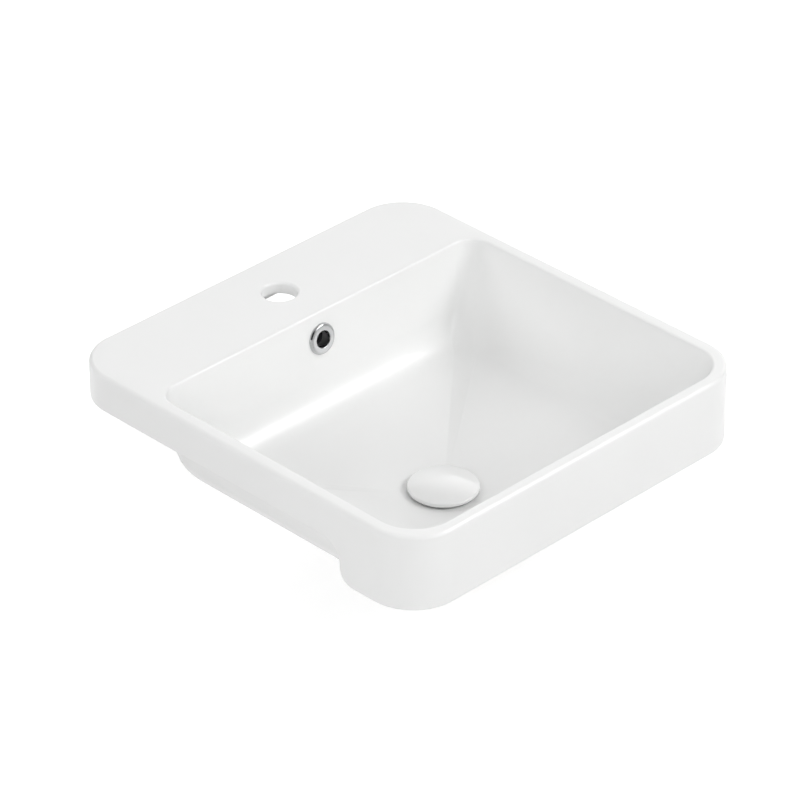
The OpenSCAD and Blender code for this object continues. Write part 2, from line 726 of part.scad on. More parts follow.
// A ring of slanting teeth between two radii, on the plane z = 0 and h high
module saw_teeth(inner, outer, h) {
  share = 360 / teeth;
  width = tan(share / 2) * (inner + outer);
  intersection() {
    for (k = [0:teeth - 1])
      rotate([90, 0, 90 + share * k])
        linear_extrude(height = outer + 1)
          polygon([[0, 0], [width, 0], [0, h]]);
    rotate_extrude()
      polygon([[inner, 0], [outer, 0], [outer, h + 1], [inner, h + 1]]);
  }
}

// The turning ratchet between the spring and the spindle
module ratchet() {
  color([0.9, 0.9, 0.87])
    at_drain()
      translate([0, 0, ratchet_z]) {
        difference() {
          cylinder(h = ratchet_h - tooth_h, r = crown_r);
          translate([0, 0, -1])
            cylinder(h = ratchet_h, r = ratchet_hole);
        }
        translate([0, 0, ratchet_h - tooth_h - EPS])
          saw_teeth(ratchet_hole + 0.4, crown_r - 0.3, tooth_h + EPS);
      }
}

// The spindle with its toothed crown, screwed into the plug
module spindle() {
  chamfer = 0.6;
  tip = 4;
  color([0.8, 0.8, 0.82])
    at_drain() {
      translate([0, 0, crown_z])
        rotate_extrude()
          polygon([[0, tooth_h], [crown_r, tooth_h], [crown_r, crown_h], [spindle_r, crown_h],
            [spindle_r, tip - crown_z - chamfer], [spindle_r - chamfer, tip - crown_z], [0, tip - crown_z]]);
      translate([0, 0, crown_z + tooth_h + EPS])
        rotate([180, 0, 0])
          saw_teeth(ratchet_hole + 0.4, crown_r - 0.3, tooth_h + EPS);
    }
}

// Thin nut that locks the spindle under the plug
module lock_nut() {
  corner = lock_flats / 2 / cos(30);
  color([0.76, 0.64, 0.38])
    at_drain()
      intersection() {
        translate([0, 0, disc_z - lock_h])
          cylinder(h = lock_h, r = corner, $fn = 6);
        turned_ring(spindle_r + push_fit, corner + 0.1, disc_z, lock_h, 0.5);
      }
}

// The plug's carrier: a grooved disc in the seat and a plate under the cap
module plug_carrier() {
  disc_r = seat_r - 0.8;
  groove_r = seat_r - seal_gap - ring_d;
  groove_half = ring_d / 2 + 0.1;
  ring_z = disc_z + disc_h / 2;
  neck_r = 11;
  color([0.82, 0.82, 0.84])
    at_drain()
      rotate_extrude()
        polygon([[spindle_r + push_fit, disc_z], [neck_r, disc_z], [neck_r, disc_z + disc_h / 3],
          [groove_r - 3, disc_z + disc_h / 3], [groove_r - 2, disc_z], [disc_r - 0.4, disc_z],
          [disc_r, disc_z + 0.4], [disc_r, ring_z - groove_half], [groove_r, ring_z - groove_half],
          [groove_r, ring_z + groove_half], [disc_r, ring_z + groove_half], [disc_r, disc_z + disc_h],
          [neck_r, disc_z + disc_h], [neck_r, plate_z], [plate_r - 0.5, plate_z], [plate_r, plate_z + 0.5],
          [plate_r, plate_z + plate_t - 0.5], [plate_r - 0.5, plate_z + plate_t],
          [spindle_r + push_fit, plate_z + plate_t]]);
}

// The plug's rubber ring
module plug_ring() {
  color([0.15, 0.15, 0.16])
    at_drain()
      translate([0, 0, disc_z + disc_h / 2])
        torus(seat_r - seal_gap - ring_d / 2, ring_d / 2);
}

// Soft pad that the cap is bedded on
module cap_pad() {
  color([0.88, 0.88, 0.85])
    at_drain()
      translate([0, 0, plate_z + plate_t])
        cylinder(h = pad_t, r = plate_r - 3);
}

// The ceramic cap over the waste, domed above and hollow below
module plug_cap() {
  dome_r = (cap_r * cap_r + cap_rise * cap_rise) / (2 * cap_rise);
  hollow_r = plate_r + 1.2;
  hollow_z = plate_z + plate_t + pad_t;
  bottom_r = 1.2;
  top_r = 1.8;
  side_top = cap_gap + cap_edge - top_r * 0.7;
  meet_r = cap_r - top_r;
  meet_z = cap_gap + cap_edge + cap_rise - dome_r + sqrt(dome_r * dome_r - meet_r * meet_r);
  color([0.96, 0.96, 0.95])
    at_drain()
      rotate_extrude()
        polygon(concat(
          [[0, hollow_z], [hollow_r, hollow_z], [hollow_r, cap_gap]],
          [for (k = [0:4]) let (t = 22.5 * k)
            [cap_r - bottom_r * (1 - sin(t)), cap_gap + bottom_r * (1 - cos(t))]],
          [for (k = [0:4]) let (t = 22.5 * k)
            [meet_r + top_r * cos(t), side_top + (meet_z - side_top) * sin(t)]],
          [for (k = [9:-1:0]) let (r = meet_r * k / 10)
            [r, cap_gap + cap_edge + cap_rise - dome_r + sqrt(dome_r * dome_r - r * r)]]));
}

basin_body();
overflow_ring();
overflow_sleeve();
waste_body();
flange_seal();
rubber_gasket();
slip_washer();
back_nut();
mechanism_housing();
housing_washer();
housing_bonnet();
spindle_seal();
click_spring();
ratchet();
spindle();
lock_nut();
plug_carrier();
plug_ring();
cap_pad();
plug_cap();
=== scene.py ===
"""Looks of a semi-recessed washbasin: glazed clay body, overflow ring and push-to-open waste.

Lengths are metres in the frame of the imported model: Z is 0 on the counter, +Y points to the wall.
"""

import logging
from dataclasses import dataclass
from enum import Enum
from math import cos, pi, radians, sin, sqrt, tan

import bmesh
import bpy
import numpy as np
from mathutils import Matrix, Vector


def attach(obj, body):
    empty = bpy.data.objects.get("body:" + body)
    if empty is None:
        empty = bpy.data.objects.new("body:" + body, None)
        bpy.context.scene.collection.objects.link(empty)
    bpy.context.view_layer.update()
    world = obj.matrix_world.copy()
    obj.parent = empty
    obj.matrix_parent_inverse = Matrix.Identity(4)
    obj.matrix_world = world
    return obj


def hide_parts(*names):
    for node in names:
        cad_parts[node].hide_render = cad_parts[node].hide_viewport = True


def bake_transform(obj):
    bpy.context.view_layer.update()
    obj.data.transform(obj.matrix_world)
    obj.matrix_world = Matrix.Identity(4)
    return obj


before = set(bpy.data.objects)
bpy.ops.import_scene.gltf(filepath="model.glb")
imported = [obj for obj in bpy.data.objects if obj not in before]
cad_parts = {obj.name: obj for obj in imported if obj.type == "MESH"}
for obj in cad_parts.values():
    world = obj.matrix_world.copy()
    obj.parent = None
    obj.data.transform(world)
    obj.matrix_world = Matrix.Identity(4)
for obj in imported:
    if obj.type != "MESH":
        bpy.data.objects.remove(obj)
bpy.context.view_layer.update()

log = logging.getLogger("washbasin")
MM = 0.001
DRAIN = (0.0, -0.0488, -0.086)
DRAIN_Y, DRAIN_Z = DRAIN[1:]
CREASE = 32.0


class Body(Enum):
    """The moving bodies that pieces ride on."""

    BASIN = "basin"
    PLUG = "plug"


class Grain(Enum):
    """The fine surface of a metal: polished, turned on a lathe or drawn as wire."""

    POLISHED = "polished"
    TURNED = "turned"
    DRAWN = "drawn"


def smooth_step(t: np.ndarray) -> np.ndarray:
    """Step from 0 to 1 with level ends: 3 t squared less 2 t cubed, held to 0..1."""
    c = np.clip(t, 0.0, 1.0)
    return c * c * (3.0 - 2.0 * c)


def join(*columns: object) -> np.ndarray:
    """Join columns, each an array or one number for all, along a new last axis."""
    return np.stack(np.broadcast_arrays(*columns), axis=-1)


def column(values: object) -> np.ndarray:
    """Set numbers one below the other, as an array of (numbers, 1)."""
    return np.asarray(values, dtype=float).reshape(-1, 1)


def quarter(steps: int) -> tuple[np.ndarray, np.ndarray]:
    """A quarter circle from one side of its square to the next: 1 - sin t and 1 - cos t."""
    t = np.linspace(0, pi / 2, steps + 1)
    return 1 - np.sin(t), 1 - np.cos(t)


def fillet(points: list[tuple[float, float, float]], steps: int = 6) -> np.ndarray:
    """Round the corners of a closed plane line.

    A corner of radius r is left where its two legs touch a circle of that radius, r tan(turn / 2)
    from it. The arc between is a turn of the first leg's normal about the circle's centre.

    Args:
        points: Corners as (x, y, radius); a radius of 0 keeps the corner sharp.
        steps: Faces in each arc.

    Returns:
        Array of (x, y) points.
    """
    corners = np.array(points, dtype=float)
    out: list[np.ndarray] = []
    for i, (x, y, r) in enumerate(corners):
        here = np.array([x, y])
        if r <= 0:
            out.append(here[None])
            continue
        back = corners[i - 1, :2] - here
        ahead = corners[(i + 1) % len(corners), :2] - here
        back /= np.linalg.norm(back)
        ahead /= np.linalg.norm(ahead)
        half = np.arccos(np.clip(back @ ahead, -1.0, 1.0)) / 2
        reach = r / np.tan(half)
        centre = here + (back + ahead) / np.linalg.norm(back + ahead) * (r / np.sin(half))
        a, b = here + back * reach - centre, here + ahead * reach - centre
        t = np.linspace(0.0, 1.0, steps + 1)[:, None]
        turn = pi - 2 * half
        out.append(centre + (np.sin((1 - t) * turn) * a + np.sin(t * turn) * b) / np.sin(turn))
    return np.concatenate(out)


def mesh_piece(name: str, points: np.ndarray, faces: list[list[int]],
               crease: float = CREASE) -> bpy.types.Object:
    """Put points and faces into a new object at the origin, and weld it.

    Args:
        name: The piece's name.
        points: Array of (x, y, z).
        faces: Lists of point numbers, anticlockwise from outside.
        crease: Angle in degrees past which an edge stays sharp.

    Returns:
        The new object.
    """
    mesh = bpy.data.meshes.new(name)
    mesh.from_pydata(points.tolist(), [], faces)
    mesh.validate()
    mesh.update()
    piece = bpy.data.objects.new(name, mesh)
    bpy.context.scene.collection.objects.link(piece)
    weld(piece, crease)
    return piece


def ring_skin(name: str, rings: np.ndarray, crease: float = CREASE,
              ends: bool = True) -> bpy.types.Object:
    """Join rings to a closed skin of quads: a point, its next, and the two in the next ring.

    Args:
        name: The piece's name.
        rings: Array of (rings, points, 3).
        crease: Angle past which an edge stays sharp.
        ends: Whether flat faces close the two ends; if not, the last ring joins the first.

    Returns:
        The new object.
    """
    m, n = rings.shape[:2]
    r = np.arange(m - 1 if ends else m)[:, None]
    c = np.arange(n)
    r2, c2 = (r + 1) % m, (c + 1) % n
    faces = join(r * n + c, r * n + c2, r2 * n + c2, r2 * n + c).reshape(-1, 4).tolist()
    if ends:
        faces += [list(range(n))[::-1], list(range((m - 1) * n, m * n))]
    return mesh_piece(name, rings.reshape(-1, 3), faces, crease)


def revolve(name: str, profile: np.ndarray, steps: int = 96, crease: float = CREASE,
            ripple: np.ndarray | float = 0.0) -> bpy.types.Object:
    """Turn a closed profile of (radius, z) about Z: x = r cos a, y = r sin a.

    Points on the axis are merged to one, so a pole is closed.

    Args:
        name: The piece's name.
        profile: Points anticlockwise round the solid, with radius to the right and z up.
        steps: Points round the turn.
        crease: Angle past which an edge stays sharp.
        ripple: Radii to add, as (profile points, steps).

    Returns:
        The new object, about the world's Z.
    """
    a = np.linspace(0.0, 2 * pi, steps, endpoint=False)[None]
    r = profile[:, :1] + ripple
    rings = join(r * np.cos(a), r * np.sin(a), profile[:, 1:])
    return ring_skin(name, rings, crease, ends=False)


def weld(piece: bpy.types.Object, crease: float = CREASE) -> None:
    """Merge doubled points, drop slivers, point the faces outwards and shade them smooth.

    Args:
        piece: The object.
        crease: Angle past which an edge stays sharp.
    """
    mesh = piece.data
    work = bmesh.new()
    work.from_mesh(mesh)
    bmesh.ops.remove_doubles(work, verts=work.verts, dist=1e-7)
    bmesh.ops.dissolve_degenerate(work, edges=work.edges, dist=1e-7)
    bmesh.ops.recalc_face_normals(work, faces=work.faces)
    work.to_mesh(mesh)
    work.free()
    mesh.polygons.foreach_set("use_smooth", np.ones(len(mesh.polygons), dtype=bool))
    mesh.set_sharp_from_angle(angle=radians(crease))
    mesh.update()


def place(piece: bpy.types.Object, at: tuple[float, float, float] = DRAIN,
          lean: float = 0.0) -> bpy.types.Object:
    """Turn a piece's mesh about X by lean and then move it, leaving its object at the origin.

    Args:
        piece: The object.
        at: Where its own origin goes; the middle of the waste hole if left out.
        lean: Turn about X in radians.

    Returns:
        The same object.
    """
    c, s = cos(lean), sin(lean)
    turned = read_points(piece) @ np.array([[1, 0, 0], [0, c, s], [0, -s, c]])
    piece.data.vertices.foreach_set("co", (turned + np.array(at)).ravel())
    piece.data.update()
    return piece


def read_points(piece: bpy.types.Object) -> np.ndarray:
    """Read a piece's points.

    Args:
        piece: The object.

    Returns:
        Array of (x, y, z).
    """
    co = np.empty(len(piece.data.vertices) * 3)
    piece.data.vertices.foreach_get("co", co)
    return co.reshape(-1, 3)


def combine(piece: bpy.types.Object, tools: list[tuple[str, bpy.types.Object]],
            crease: float = CREASE) -> None:
    """Join tools to a piece or cut them from it, in turn, and keep the result as its mesh.

    Args:
        piece: The object that is changed.
        tools: Pairs of "UNION" or "DIFFERENCE" and an object, which is removed afterwards.
        crease: Angle past which an edge stays sharp.
    """
    for how, tool in tools:
        step = piece.modifiers.new("cut", "BOOLEAN")
        step.operation = how
        step.solver = "EXACT"
        step.object = tool
        graph = bpy.context.evaluated_depsgraph_get()
        shaped = bpy.data.meshes.new_from_object(piece.evaluated_get(graph))
        piece.modifiers.clear()
        piece.data = shaped
        bpy.data.objects.remove(tool)
    weld(piece, crease)


def keep_flats(piece: bpy.types.Object) -> None:
    """Weight the normals by face area, so that broad faces stay flat beside small roundings.

    Args:
        piece: The object.
    """
    step = piece.modifiers.new("flats", "WEIGHTED_NORMAL")
    step.keep_sharp = True
    step.weight = 50


class Graph:
    """A node tree of a material, a lamp or the world, made one node at a time."""

    def __init__(self, tree: bpy.types.NodeTree) -> None:
        """Take the tree that the nodes go into."""
        self.tree = tree

    def add(self, kind: str, feeds: dict | None = None, out: int | str = 0,
            **values: object) -> bpy.types.NodeSocket:
        """Add a node, fill its inputs and give one of its outputs.

        Args:
            kind: Node type without its prefix.
            feeds: For inputs by name or number, the socket to link or the value to set.
            out: Name or number of the output.
            **values: The node's own properties.

        Returns:
            The output.
        """
        node = self.tree.nodes.new("ShaderNode" + kind)
        for key, value in values.items():
            setattr(node, key, value)
        for key, value in (feeds or {}).items():
            if isinstance(value, bpy.types.NodeSocket):
                self.tree.links.new(value, node.inputs[key])
            else:
                node.inputs[key].default_value = value
        return node.outputs[out]

    def maths(self, operation: str, a: object, b: object = 0.0) -> bpy.types.NodeSocket:
        """Work out one sum; a and b are sockets or numbers."""
        return self.add("Math", {0: a, 1: b}, operation=operation)

    def spread(self, value: bpy.types.NodeSocket, low: float, high: float, start: float = 0.3,
               end: float = 0.7, step: str = "LINEAR") -> bpy.types.NodeSocket:
        """Map a factor's start..end to low..high: straight, or as a SMOOTHSTEP, level at both."""
        feeds = {"Value": value, "From Min": start, "From Max": end, "To Min": low, "To Max": high}
        return self.add("MapRange", feeds, "Result", interpolation_type=step)

    def seen(self, strength: float, glossy: bool) -> bpy.types.NodeSocket:
        """A strength for the camera and through glass alone, and 0 as light on the object.

        Args:
            strength: What the camera sees.
            glossy: Whether reflections see it too.

        Returns:
            The strength output.
        """
        path = self.tree.nodes.new("ShaderNodeLightPath")
        total = path.outputs["Is Camera Ray"]
        for kind in ["Is Transmission Ray"] + ["Is Glossy Ray"] * glossy:
            total = self.maths("MAXIMUM", total, path.outputs[kind])
        return self.spread(total, 0.0, strength, 0.0, 1.0)


class Finish(Graph):
    """A material with a Principled shader, and the patterns that its surface is made of."""

    def __init__(self, name: str, **values: object) -> None:
        """Start the material.

        Args:
            name: The material's name.
            **values: The shader's inputs, with underscores for spaces.
        """
        self.material = bpy.data.materials.new(name)
        self.material.use_nodes = True
        super().__init__(self.material.node_tree)
        self.sockets = self.tree.nodes["Principled BSDF"].inputs
        for key, value in values.items():
            self.sockets[key.replace("_", " ")].default_value = value

    def position(self, centre: tuple[float, float, float] = (0, 0, 0),
                 stretch: tuple[float, float, float] = (1, 1, 1)) -> bpy.types.NodeSocket:
        """Object coordinates counted from a centre, then stretched.

        Args:
            centre: The point that becomes 0.
            stretch: Scale along each axis.

        Returns:
            The vector output.
        """
        shift = tuple(-c * s for c, s in zip(centre, stretch))
        where = self.add("TexCoord", out="Object")
        return self.add("Mapping", {"Vector": where, "Location": shift, "Scale": stretch})

    def noise(self, where: bpy.types.NodeSocket, scale: float, detail: float = 3.0,
              rough: float = 0.5) -> bpy.types.NodeSocket:
        """Noise about 0.5: blotches per metre, number of octaves, strength of the finer ones."""
        feeds = {"Vector": where, "Scale": scale, "Detail": detail, "Roughness": rough}
        return self.add("TexNoise", feeds, "Fac")

    def blend(self, factor: bpy.types.NodeSocket, a: object, b: object) -> bpy.types.NodeSocket:
        """Mix two colours, each (r, g, b) or a socket: a factor of 0 gives a, and 1 gives b."""
        a, b = ((*c, 1.0) if isinstance(c, tuple) else c for c in (a, b))
        return self.add("Mix", {"Factor": factor, 6: a, 7: b}, 2, data_type="RGBA")

    def clouded(self, noise: bpy.types.NodeSocket, a: tuple, b: tuple) -> bpy.types.NodeSocket:
        """Two colours in clouds of a noise."""
        return self.blend(self.spread(noise, 0.0, 1.0), a, b)

    def surface(self, colour: bpy.types.NodeSocket, roughness: bpy.types.NodeSocket,
                height: bpy.types.NodeSocket, depth: float, strength: float) -> bpy.types.Material:
        """Give the shader its colour, roughness and bump.

        Args:
            colour: Colour socket.
            roughness: Roughness socket.
            height: Height socket, 0 to 1.
            depth: Metres that a height of 1 stands for.
            strength: Share of it that shows.

        Returns:
            The finished material.
        """
        raised = self.add("Bump", {"Height": height, "Distance": depth, "Strength": strength})
        for key, value in (("Base Color", colour), ("Roughness", roughness), ("Normal", raised)):
            self.tree.links.new(value, self.sockets[key])
        return self.material


@dataclass(frozen=True)
class Glaze:
    """White sanitary glaze over fired clay, with bare clay where an attribute says so."""

    name: str
    tint: tuple = (0.870, 0.872, 0.868)
    shade: tuple = (0.852, 0.855, 0.850)
    clay: tuple = (0.70, 0.66, 0.60)
    gloss: tuple = (0.34, 0.40)
    coat: float = 0.40
    bare_attribute: str | None = None

    def material(self) -> bpy.types.Material:
        """Make the glaze: faint clouds and a slow ripple, and bare clay that is matt and gritty.

        Returns:
            The material.
        """
        n = Finish(self.name, IOR=1.52, Coat_Weight=self.coat, Coat_Roughness=0.05, Coat_IOR=1.5)
        where = n.position()
        colour = n.clouded(n.noise(where, 9.0), self.shade, self.tint)
        gloss = n.spread(n.noise(where, 60.0, 2.0), *self.gloss)
        height = n.noise(where, 32.0, 1.0, 0.3)
        if self.bare_attribute is not None:
            mark = n.add("Attribute", out="Fac", attribute_name=self.bare_attribute)
            ragged = n.spread(n.noise(where, 700.0), -0.25, 0.25)
            bare = n.spread(n.maths("ADD", mark, ragged), 0.0, 1.0, 0.45, 0.65)
            grit = n.noise(where, 2600.0, 4.0, 0.7)
            dusty = tuple(0.86 * c for c in self.clay)
            colour = n.blend(bare, colour, n.clouded(grit, dusty, self.clay))
            gloss = n.add("Mix", {"Factor": bare, 2: gloss, 3: n.spread(grit, 0.75, 0.95)})
            height = n.add("Mix", {"Factor": bare, 2: height, 3: grit})
        return n.surface(colour, gloss, height, depth=0.00010, strength=0.5)


@dataclass(frozen=True)
class Metal:
    """A metal with its grain and the wear that dulls it."""

    name: str
    tint: tuple
    dull: tuple
    rough: tuple[float, float]
    grain: Grain

    def material(self) -> bpy.types.Material:
        """Make the metal: clouded tint, uneven gloss, and rings, lines or wipe marks as bump.

        Returns:
            The material.
        """
        n = Finish(self.name, Metallic=1.0)
        where = n.position(DRAIN)
        tint = n.clouded(n.noise(where, 70.0, 4.0), self.dull, self.tint)
        gloss = n.spread(n.noise(where, 240.0), *self.rough)
        if self.grain is Grain.TURNED:
            axes = n.add("SeparateXYZ", {0: where}).node.outputs
            flat = n.add("CombineXYZ", {"X": axes["X"], "Y": axes["Y"]})
            reach = n.add("VectorMath", {0: flat}, "Value", operation="LENGTH")
            lines = n.add("CombineXYZ", {"X": reach, "Z": axes["Z"]})
            rings = n.noise(lines, 3500.0, 2.0)
            return n.surface(tint, gloss, rings, depth=0.00002, strength=0.5)
        if self.grain is Grain.DRAWN:
            lines = n.noise(n.position(DRAIN, (1.0, 1.0, 6.0)), 2500.0, 2.0)
            return n.surface(tint, gloss, lines, depth=0.00001, strength=0.5)
        wiped = n.noise(n.position(DRAIN, (1.0, 5.0, 1.0)), 90.0)
        return n.surface(tint, gloss, wiped, depth=0.00001, strength=0.3)


@dataclass(frozen=True)
class Moulding:
    """A moulded or pressed matt material: rubber, plastic or fibre."""

    name: str
    tint: tuple
    shade: tuple
    rough: tuple[float, float]
    grain: float = 900.0
    depth: float = 0.00004
    sheen: float = 0.0

    def material(self) -> bpy.types.Material:
        """Make the moulding: slightly clouded colour, uneven gloss and a fine moulded grain.

        Returns:
            The material.
        """
        n = Finish(self.name, Specular_IOR_Level=0.4, Sheen_Weight=self.sheen)
        where = n.position()
        return n.surface(n.clouded(n.noise(where, 120.0, 4.0), self.shade, self.tint),
                         n.spread(n.noise(where, 500.0, 2.0), *self.rough),
                         n.noise(where, self.grain), self.depth, strength=0.6)


class Look(Enum):
    """Every finish of the washbasin."""

    GLAZE = Glaze("white_glaze", bare_attribute="bare_clay")
    CAP_GLAZE = Glaze("cap_glaze", gloss=(0.08, 0.12), coat=0.80)
    CHROME = Metal("chrome_plate", (0.57, 0.575, 0.58), (0.53, 0.535, 0.54), (0.04, 0.08),
                   Grain.POLISHED)
    TURNED_CHROME = Metal("turned_chrome", (0.56, 0.565, 0.57), (0.50, 0.505, 0.51), (0.14, 0.22),
                          Grain.TURNED)
    BRASS = Metal("turned_brass", (0.80, 0.64, 0.34), (0.66, 0.50, 0.25), (0.22, 0.34),
                  Grain.TURNED)
    WIRE = Metal("spring_wire", (0.60, 0.60, 0.61), (0.50, 0.50, 0.51), (0.25, 0.35), Grain.DRAWN)
    RUBBER = Moulding("black_rubber", (0.030, 0.030, 0.032), (0.018, 0.018, 0.020), (0.55, 0.75),
                      sheen=0.1)
    PLASTIC = Moulding("white_plastic", (0.78, 0.78, 0.76), (0.72, 0.72, 0.70), (0.32, 0.45))
    # Black plastic of the overflow sleeve; its darkness is also painted shade inside the overflow
    # hole.
    BLACK_PLASTIC_PAINTED_SHADE = Moulding("black_plastic", (0.045, 0.045, 0.048), (0.030, 0.030, 0.032),
                             (0.32, 0.45))
    FIBRE = Moulding("red_fibre", (0.36, 0.075, 0.045), (0.25, 0.05, 0.03), (0.7, 0.9),
                     grain=2400.0, depth=0.00008)


class Assembly:
    """A sub-assembly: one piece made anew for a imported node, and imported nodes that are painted."""

    body: Body | None = Body.BASIN
    look: Look
    slot: str
    node: str
    painted: dict[str, Look] = {}

    def build(self) -> bpy.types.Object:
        """Make the new piece."""
        raise NotImplementedError

    def dress(self, piece: bpy.types.Object, materials: dict[Look, bpy.types.Material]) -> None:
        """Dress the new piece, set it on its body for its node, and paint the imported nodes.

        Args:
            piece: The new piece.
            materials: The finishes' materials.
        """
        coats = [(piece, self.look)] + [(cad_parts[n], k) for n, k in self.painted.items()]
        for dressed, look in coats:
            dressed.data.materials.clear()
            dressed.data.materials.append(materials[look])
            log.info("%s: %d faces, %s", dressed.name, len(dressed.data.polygons), look.value.name)
        if self.body is not None:
            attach(piece, self.body.value)
        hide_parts(self.node)


def spoke(name: str, section: np.ndarray, angle: float, near: float,
          far: float) -> bpy.types.Object:
    """A bar that points away from the waste's axis.

    Args:
        name: The piece's name.
        section: Cross-section as (across, z).
        angle: Direction in plan, in radians.
        near: Where it starts, from the axis.
        far: Where it ends.

    Returns:
        The bar, about the world's Z.
    """
    (x, z), c, s = section.T, cos(angle), sin(angle)
    return ring_skin(name, np.stack([join(c * r - s * x, s * r + c * x, z) for r in (near, far)]))


@dataclass
class ClayBody(Assembly):
    """The glazed body: bowl, rim, tap deck, skirt with apron, waste boss and overflow duct."""

    look, slot, node = Look.GLAZE, "glazed_clay", "basin_body"
    width: float = 455 * MM
    depth: float = 470 * MM
    corner: float = 52 * MM
    rim: float = 41 * MM
    drop: float = 41 * MM
    apron_return: float = 97 * MM
    notch: float = 22 * MM
    heel: float = 17 * MM
    edge: float = 4.5 * MM
    foot: float = 2.5 * MM
    skirt: float = 10 * MM
    rim_side: float = 14 * MM
    rim_front: float = 12 * MM
    deck: float = 112 * MM
    deck_thick: float = 14 * MM
    wall: float = 11 * MM
    lip: float = 2.5 * MM
    mouth_corners: tuple[float, float] = (42 * MM, 22 * MM)
    corner_growth: tuple[float, float] = (24 * MM, -6 * MM)
    leans: tuple[float, float, float] = (17.0, 18.0, 8.0)
    wall_depth: float = 68 * MM
    cove: float = 40 * MM
    floor_fall: float = 17.0
    land: float = 38 * MM
    groove_drop: float = 32 * MM
    waste_hole: float = 22.75 * MM
    boss: float = 42 * MM
    boss_length: float = 40 * MM
    tap_hole: float = 17.5 * MM
    tap_setback: float = 57 * MM
    overflow_hole: float = 12 * MM
    overflow_drop: float = 28.5 * MM
    duct_width: float = 36 * MM
    duct_gap: float = 12 * MM
    duct_shell: float = 8 * MM
    duct_cover: float = 4 * MM
    rise_start: float = 20 * MM
    rise_length: float = 50 * MM
    boss_round: float = 1.5 * MM
    boss_ease: float = 5 * MM
    recess: tuple[float, float] = (32.7 * MM, 4.2 * MM)
    well: tuple[float, float] = (27.55 * MM, 9.5 * MM)
    cone_end: float = 15.5 * MM
    hole_lip: float = 3.2 * MM
    over: float = 3 * MM
    duct_steps: int = 14
    arc_steps: int = 20
    middle_steps: tuple[int, int] = (7, 12)
    side_steps: tuple[int, int, int, int] = (5, 13, 15, 14)

    def __post_init__(self) -> None:
        """Work out the stations round the outline once."""
        self.front, self.back = -self.depth / 2, self.depth / 2
        self.mouth = (self.width / 2 - self.rim_side, self.front + self.rim_front,
                      self.back - self.deck)
        self.table, self.feet = self.lay_stations()

    def lay_stations(self) -> tuple[np.ndarray, np.ndarray]:
        """Lay the stations anticlockwise from the middle of the front.

        Each holds the shares that its place takes of an outline's numbers: sx of the half width
        less the corner radius, ux of the radius, yf of the front arcs' height and 1 - yf of the
        back arcs', uy of the radius, then the front radius's share and the weights of side, front
        and back. The feet hold the lower edge: y, z, the way out of the clay, and whether the
        notch sets y.

        Returns:
            The stations and the feet, one row to each.
        """
        arc = np.linspace(0.0, 1.0, self.arc_steps + 1)
        across, along = np.sin(arc * pi / 2), np.cos(arc * pi / 2)
        front_n, back_n = self.middle_steps
        ahead_n, heel_n, notch_n, behind_n = self.side_steps
        start, end = self.front + self.corner, self.back - self.corner
        y = self.front + self.apron_return
        low, high = y - self.heel, y + self.notch
        ahead = np.linspace(start, low, ahead_n + 2)[1:-1]
        behind = np.linspace(high, end, behind_n + 2)[1:-1]
        t = np.linspace(-pi / 2, 0.0, heel_n)
        heel = join(low + self.heel * np.cos(t), -self.drop + self.heel * (1 + np.sin(t)),
                    np.cos(t), np.sin(t), 1)
        t = np.linspace(pi, pi / 2, notch_n)
        notch = join(high + self.notch * np.cos(t), self.notch * (np.sin(t) - 1),
                     -np.cos(t), -np.sin(t), 1)
        path = np.concatenate([join(ahead, -self.drop, 0, -1, 1), heel, notch,
                               join(behind, 0, 0, -1, 1)])
        even = np.concatenate([ahead, np.linspace(low, high, heel_n + notch_n), behind])
        share = (end - even) / (end - start)
        right = np.concatenate([
            join(np.linspace(0, 1, front_n + 2)[1:-1], 0, 1, -1, 1, 0, 1, 0),
            join(1, across, 1, -along, 1, arc, 1 - arc, 0),
            join(1, 1, share, 0, 1, 1, 0, 0),
            join(1, along, 0, across, 0, 1 - arc, 0, arc)])
        table = np.concatenate([
            join([0.0], 0, 1, -1, 1, 0, 1, 0), right,
            join(np.linspace(1, -1, back_n + 2)[1:-1], 0, 0, 1, 0, 0, 0, 1),
            right[::-1] * [-1, -1, 1, 1, 1, 1, 1, 1]])
        apron, level = ([0.0, z, 0.0, -1.0, 0.0] for z in (-self.drop, 0.0))
        half = np.concatenate([[apron] * (front_n + len(arc)), path, [level] * len(arc)])
        return table, np.concatenate([[apron], half, [level] * back_n, half[::-1]])

    def outline(self, a: np.ndarray, f: np.ndarray, b: np.ndarray, rf: np.ndarray,
                rb: np.ndarray, z: np.ndarray) -> np.ndarray:
        """Rings of the outline, from the shares in the table.

        x is sx (a - r) + ux r, and y is yf (f + rf) + (1 - yf) (b - rb) + uy r.

        Args:
            a: Half width of each row.
            f: Its front.
            b: Its back.
            rf: Its front corners' radius.
            rb: Its back corners' radius.
            z: Heights that fit (rows, stations).

        Returns:
            Array of (rows, stations, 3).
        """
        sx, ux, yf, uy, fr = self.table[:, :5].T
        a, f, b, rf, rb = map(column, (a, f, b, rf, rb))
        r = fr * rf + (1 - fr) * rb
        return join(sx * (a - r) + ux * r, yf * (f + rf) + (1 - yf) * (b - rb) + uy * r, z)

    def bowl_rows(self, inset: np.ndarray, depth: np.ndarray, grow: np.ndarray,
                  off: float = 0.0) -> np.ndarray:
        """Rings of the bowl from the sections of its side, front and back walls.

        Args:
            inset: Insets from the mouth as (rows, 3) for side, front and back.
            depth: Depths below the rim, likewise.
            grow: Share of the corner growth in each row.
            off: Offset that the corner radii grow by.

        Returns:
            Array of (rows, stations, 3).
        """
        a, f, b = self.mouth
        front, back = (c + g * np.asarray(grow) + off
                       for c, g in zip(self.mouth_corners, self.corner_growth))
        return self.outline(a - inset[:, 0], f + inset[:, 1], b - inset[:, 2], front, back,
                            self.rim - depth @ self.table[:, 5:].T)

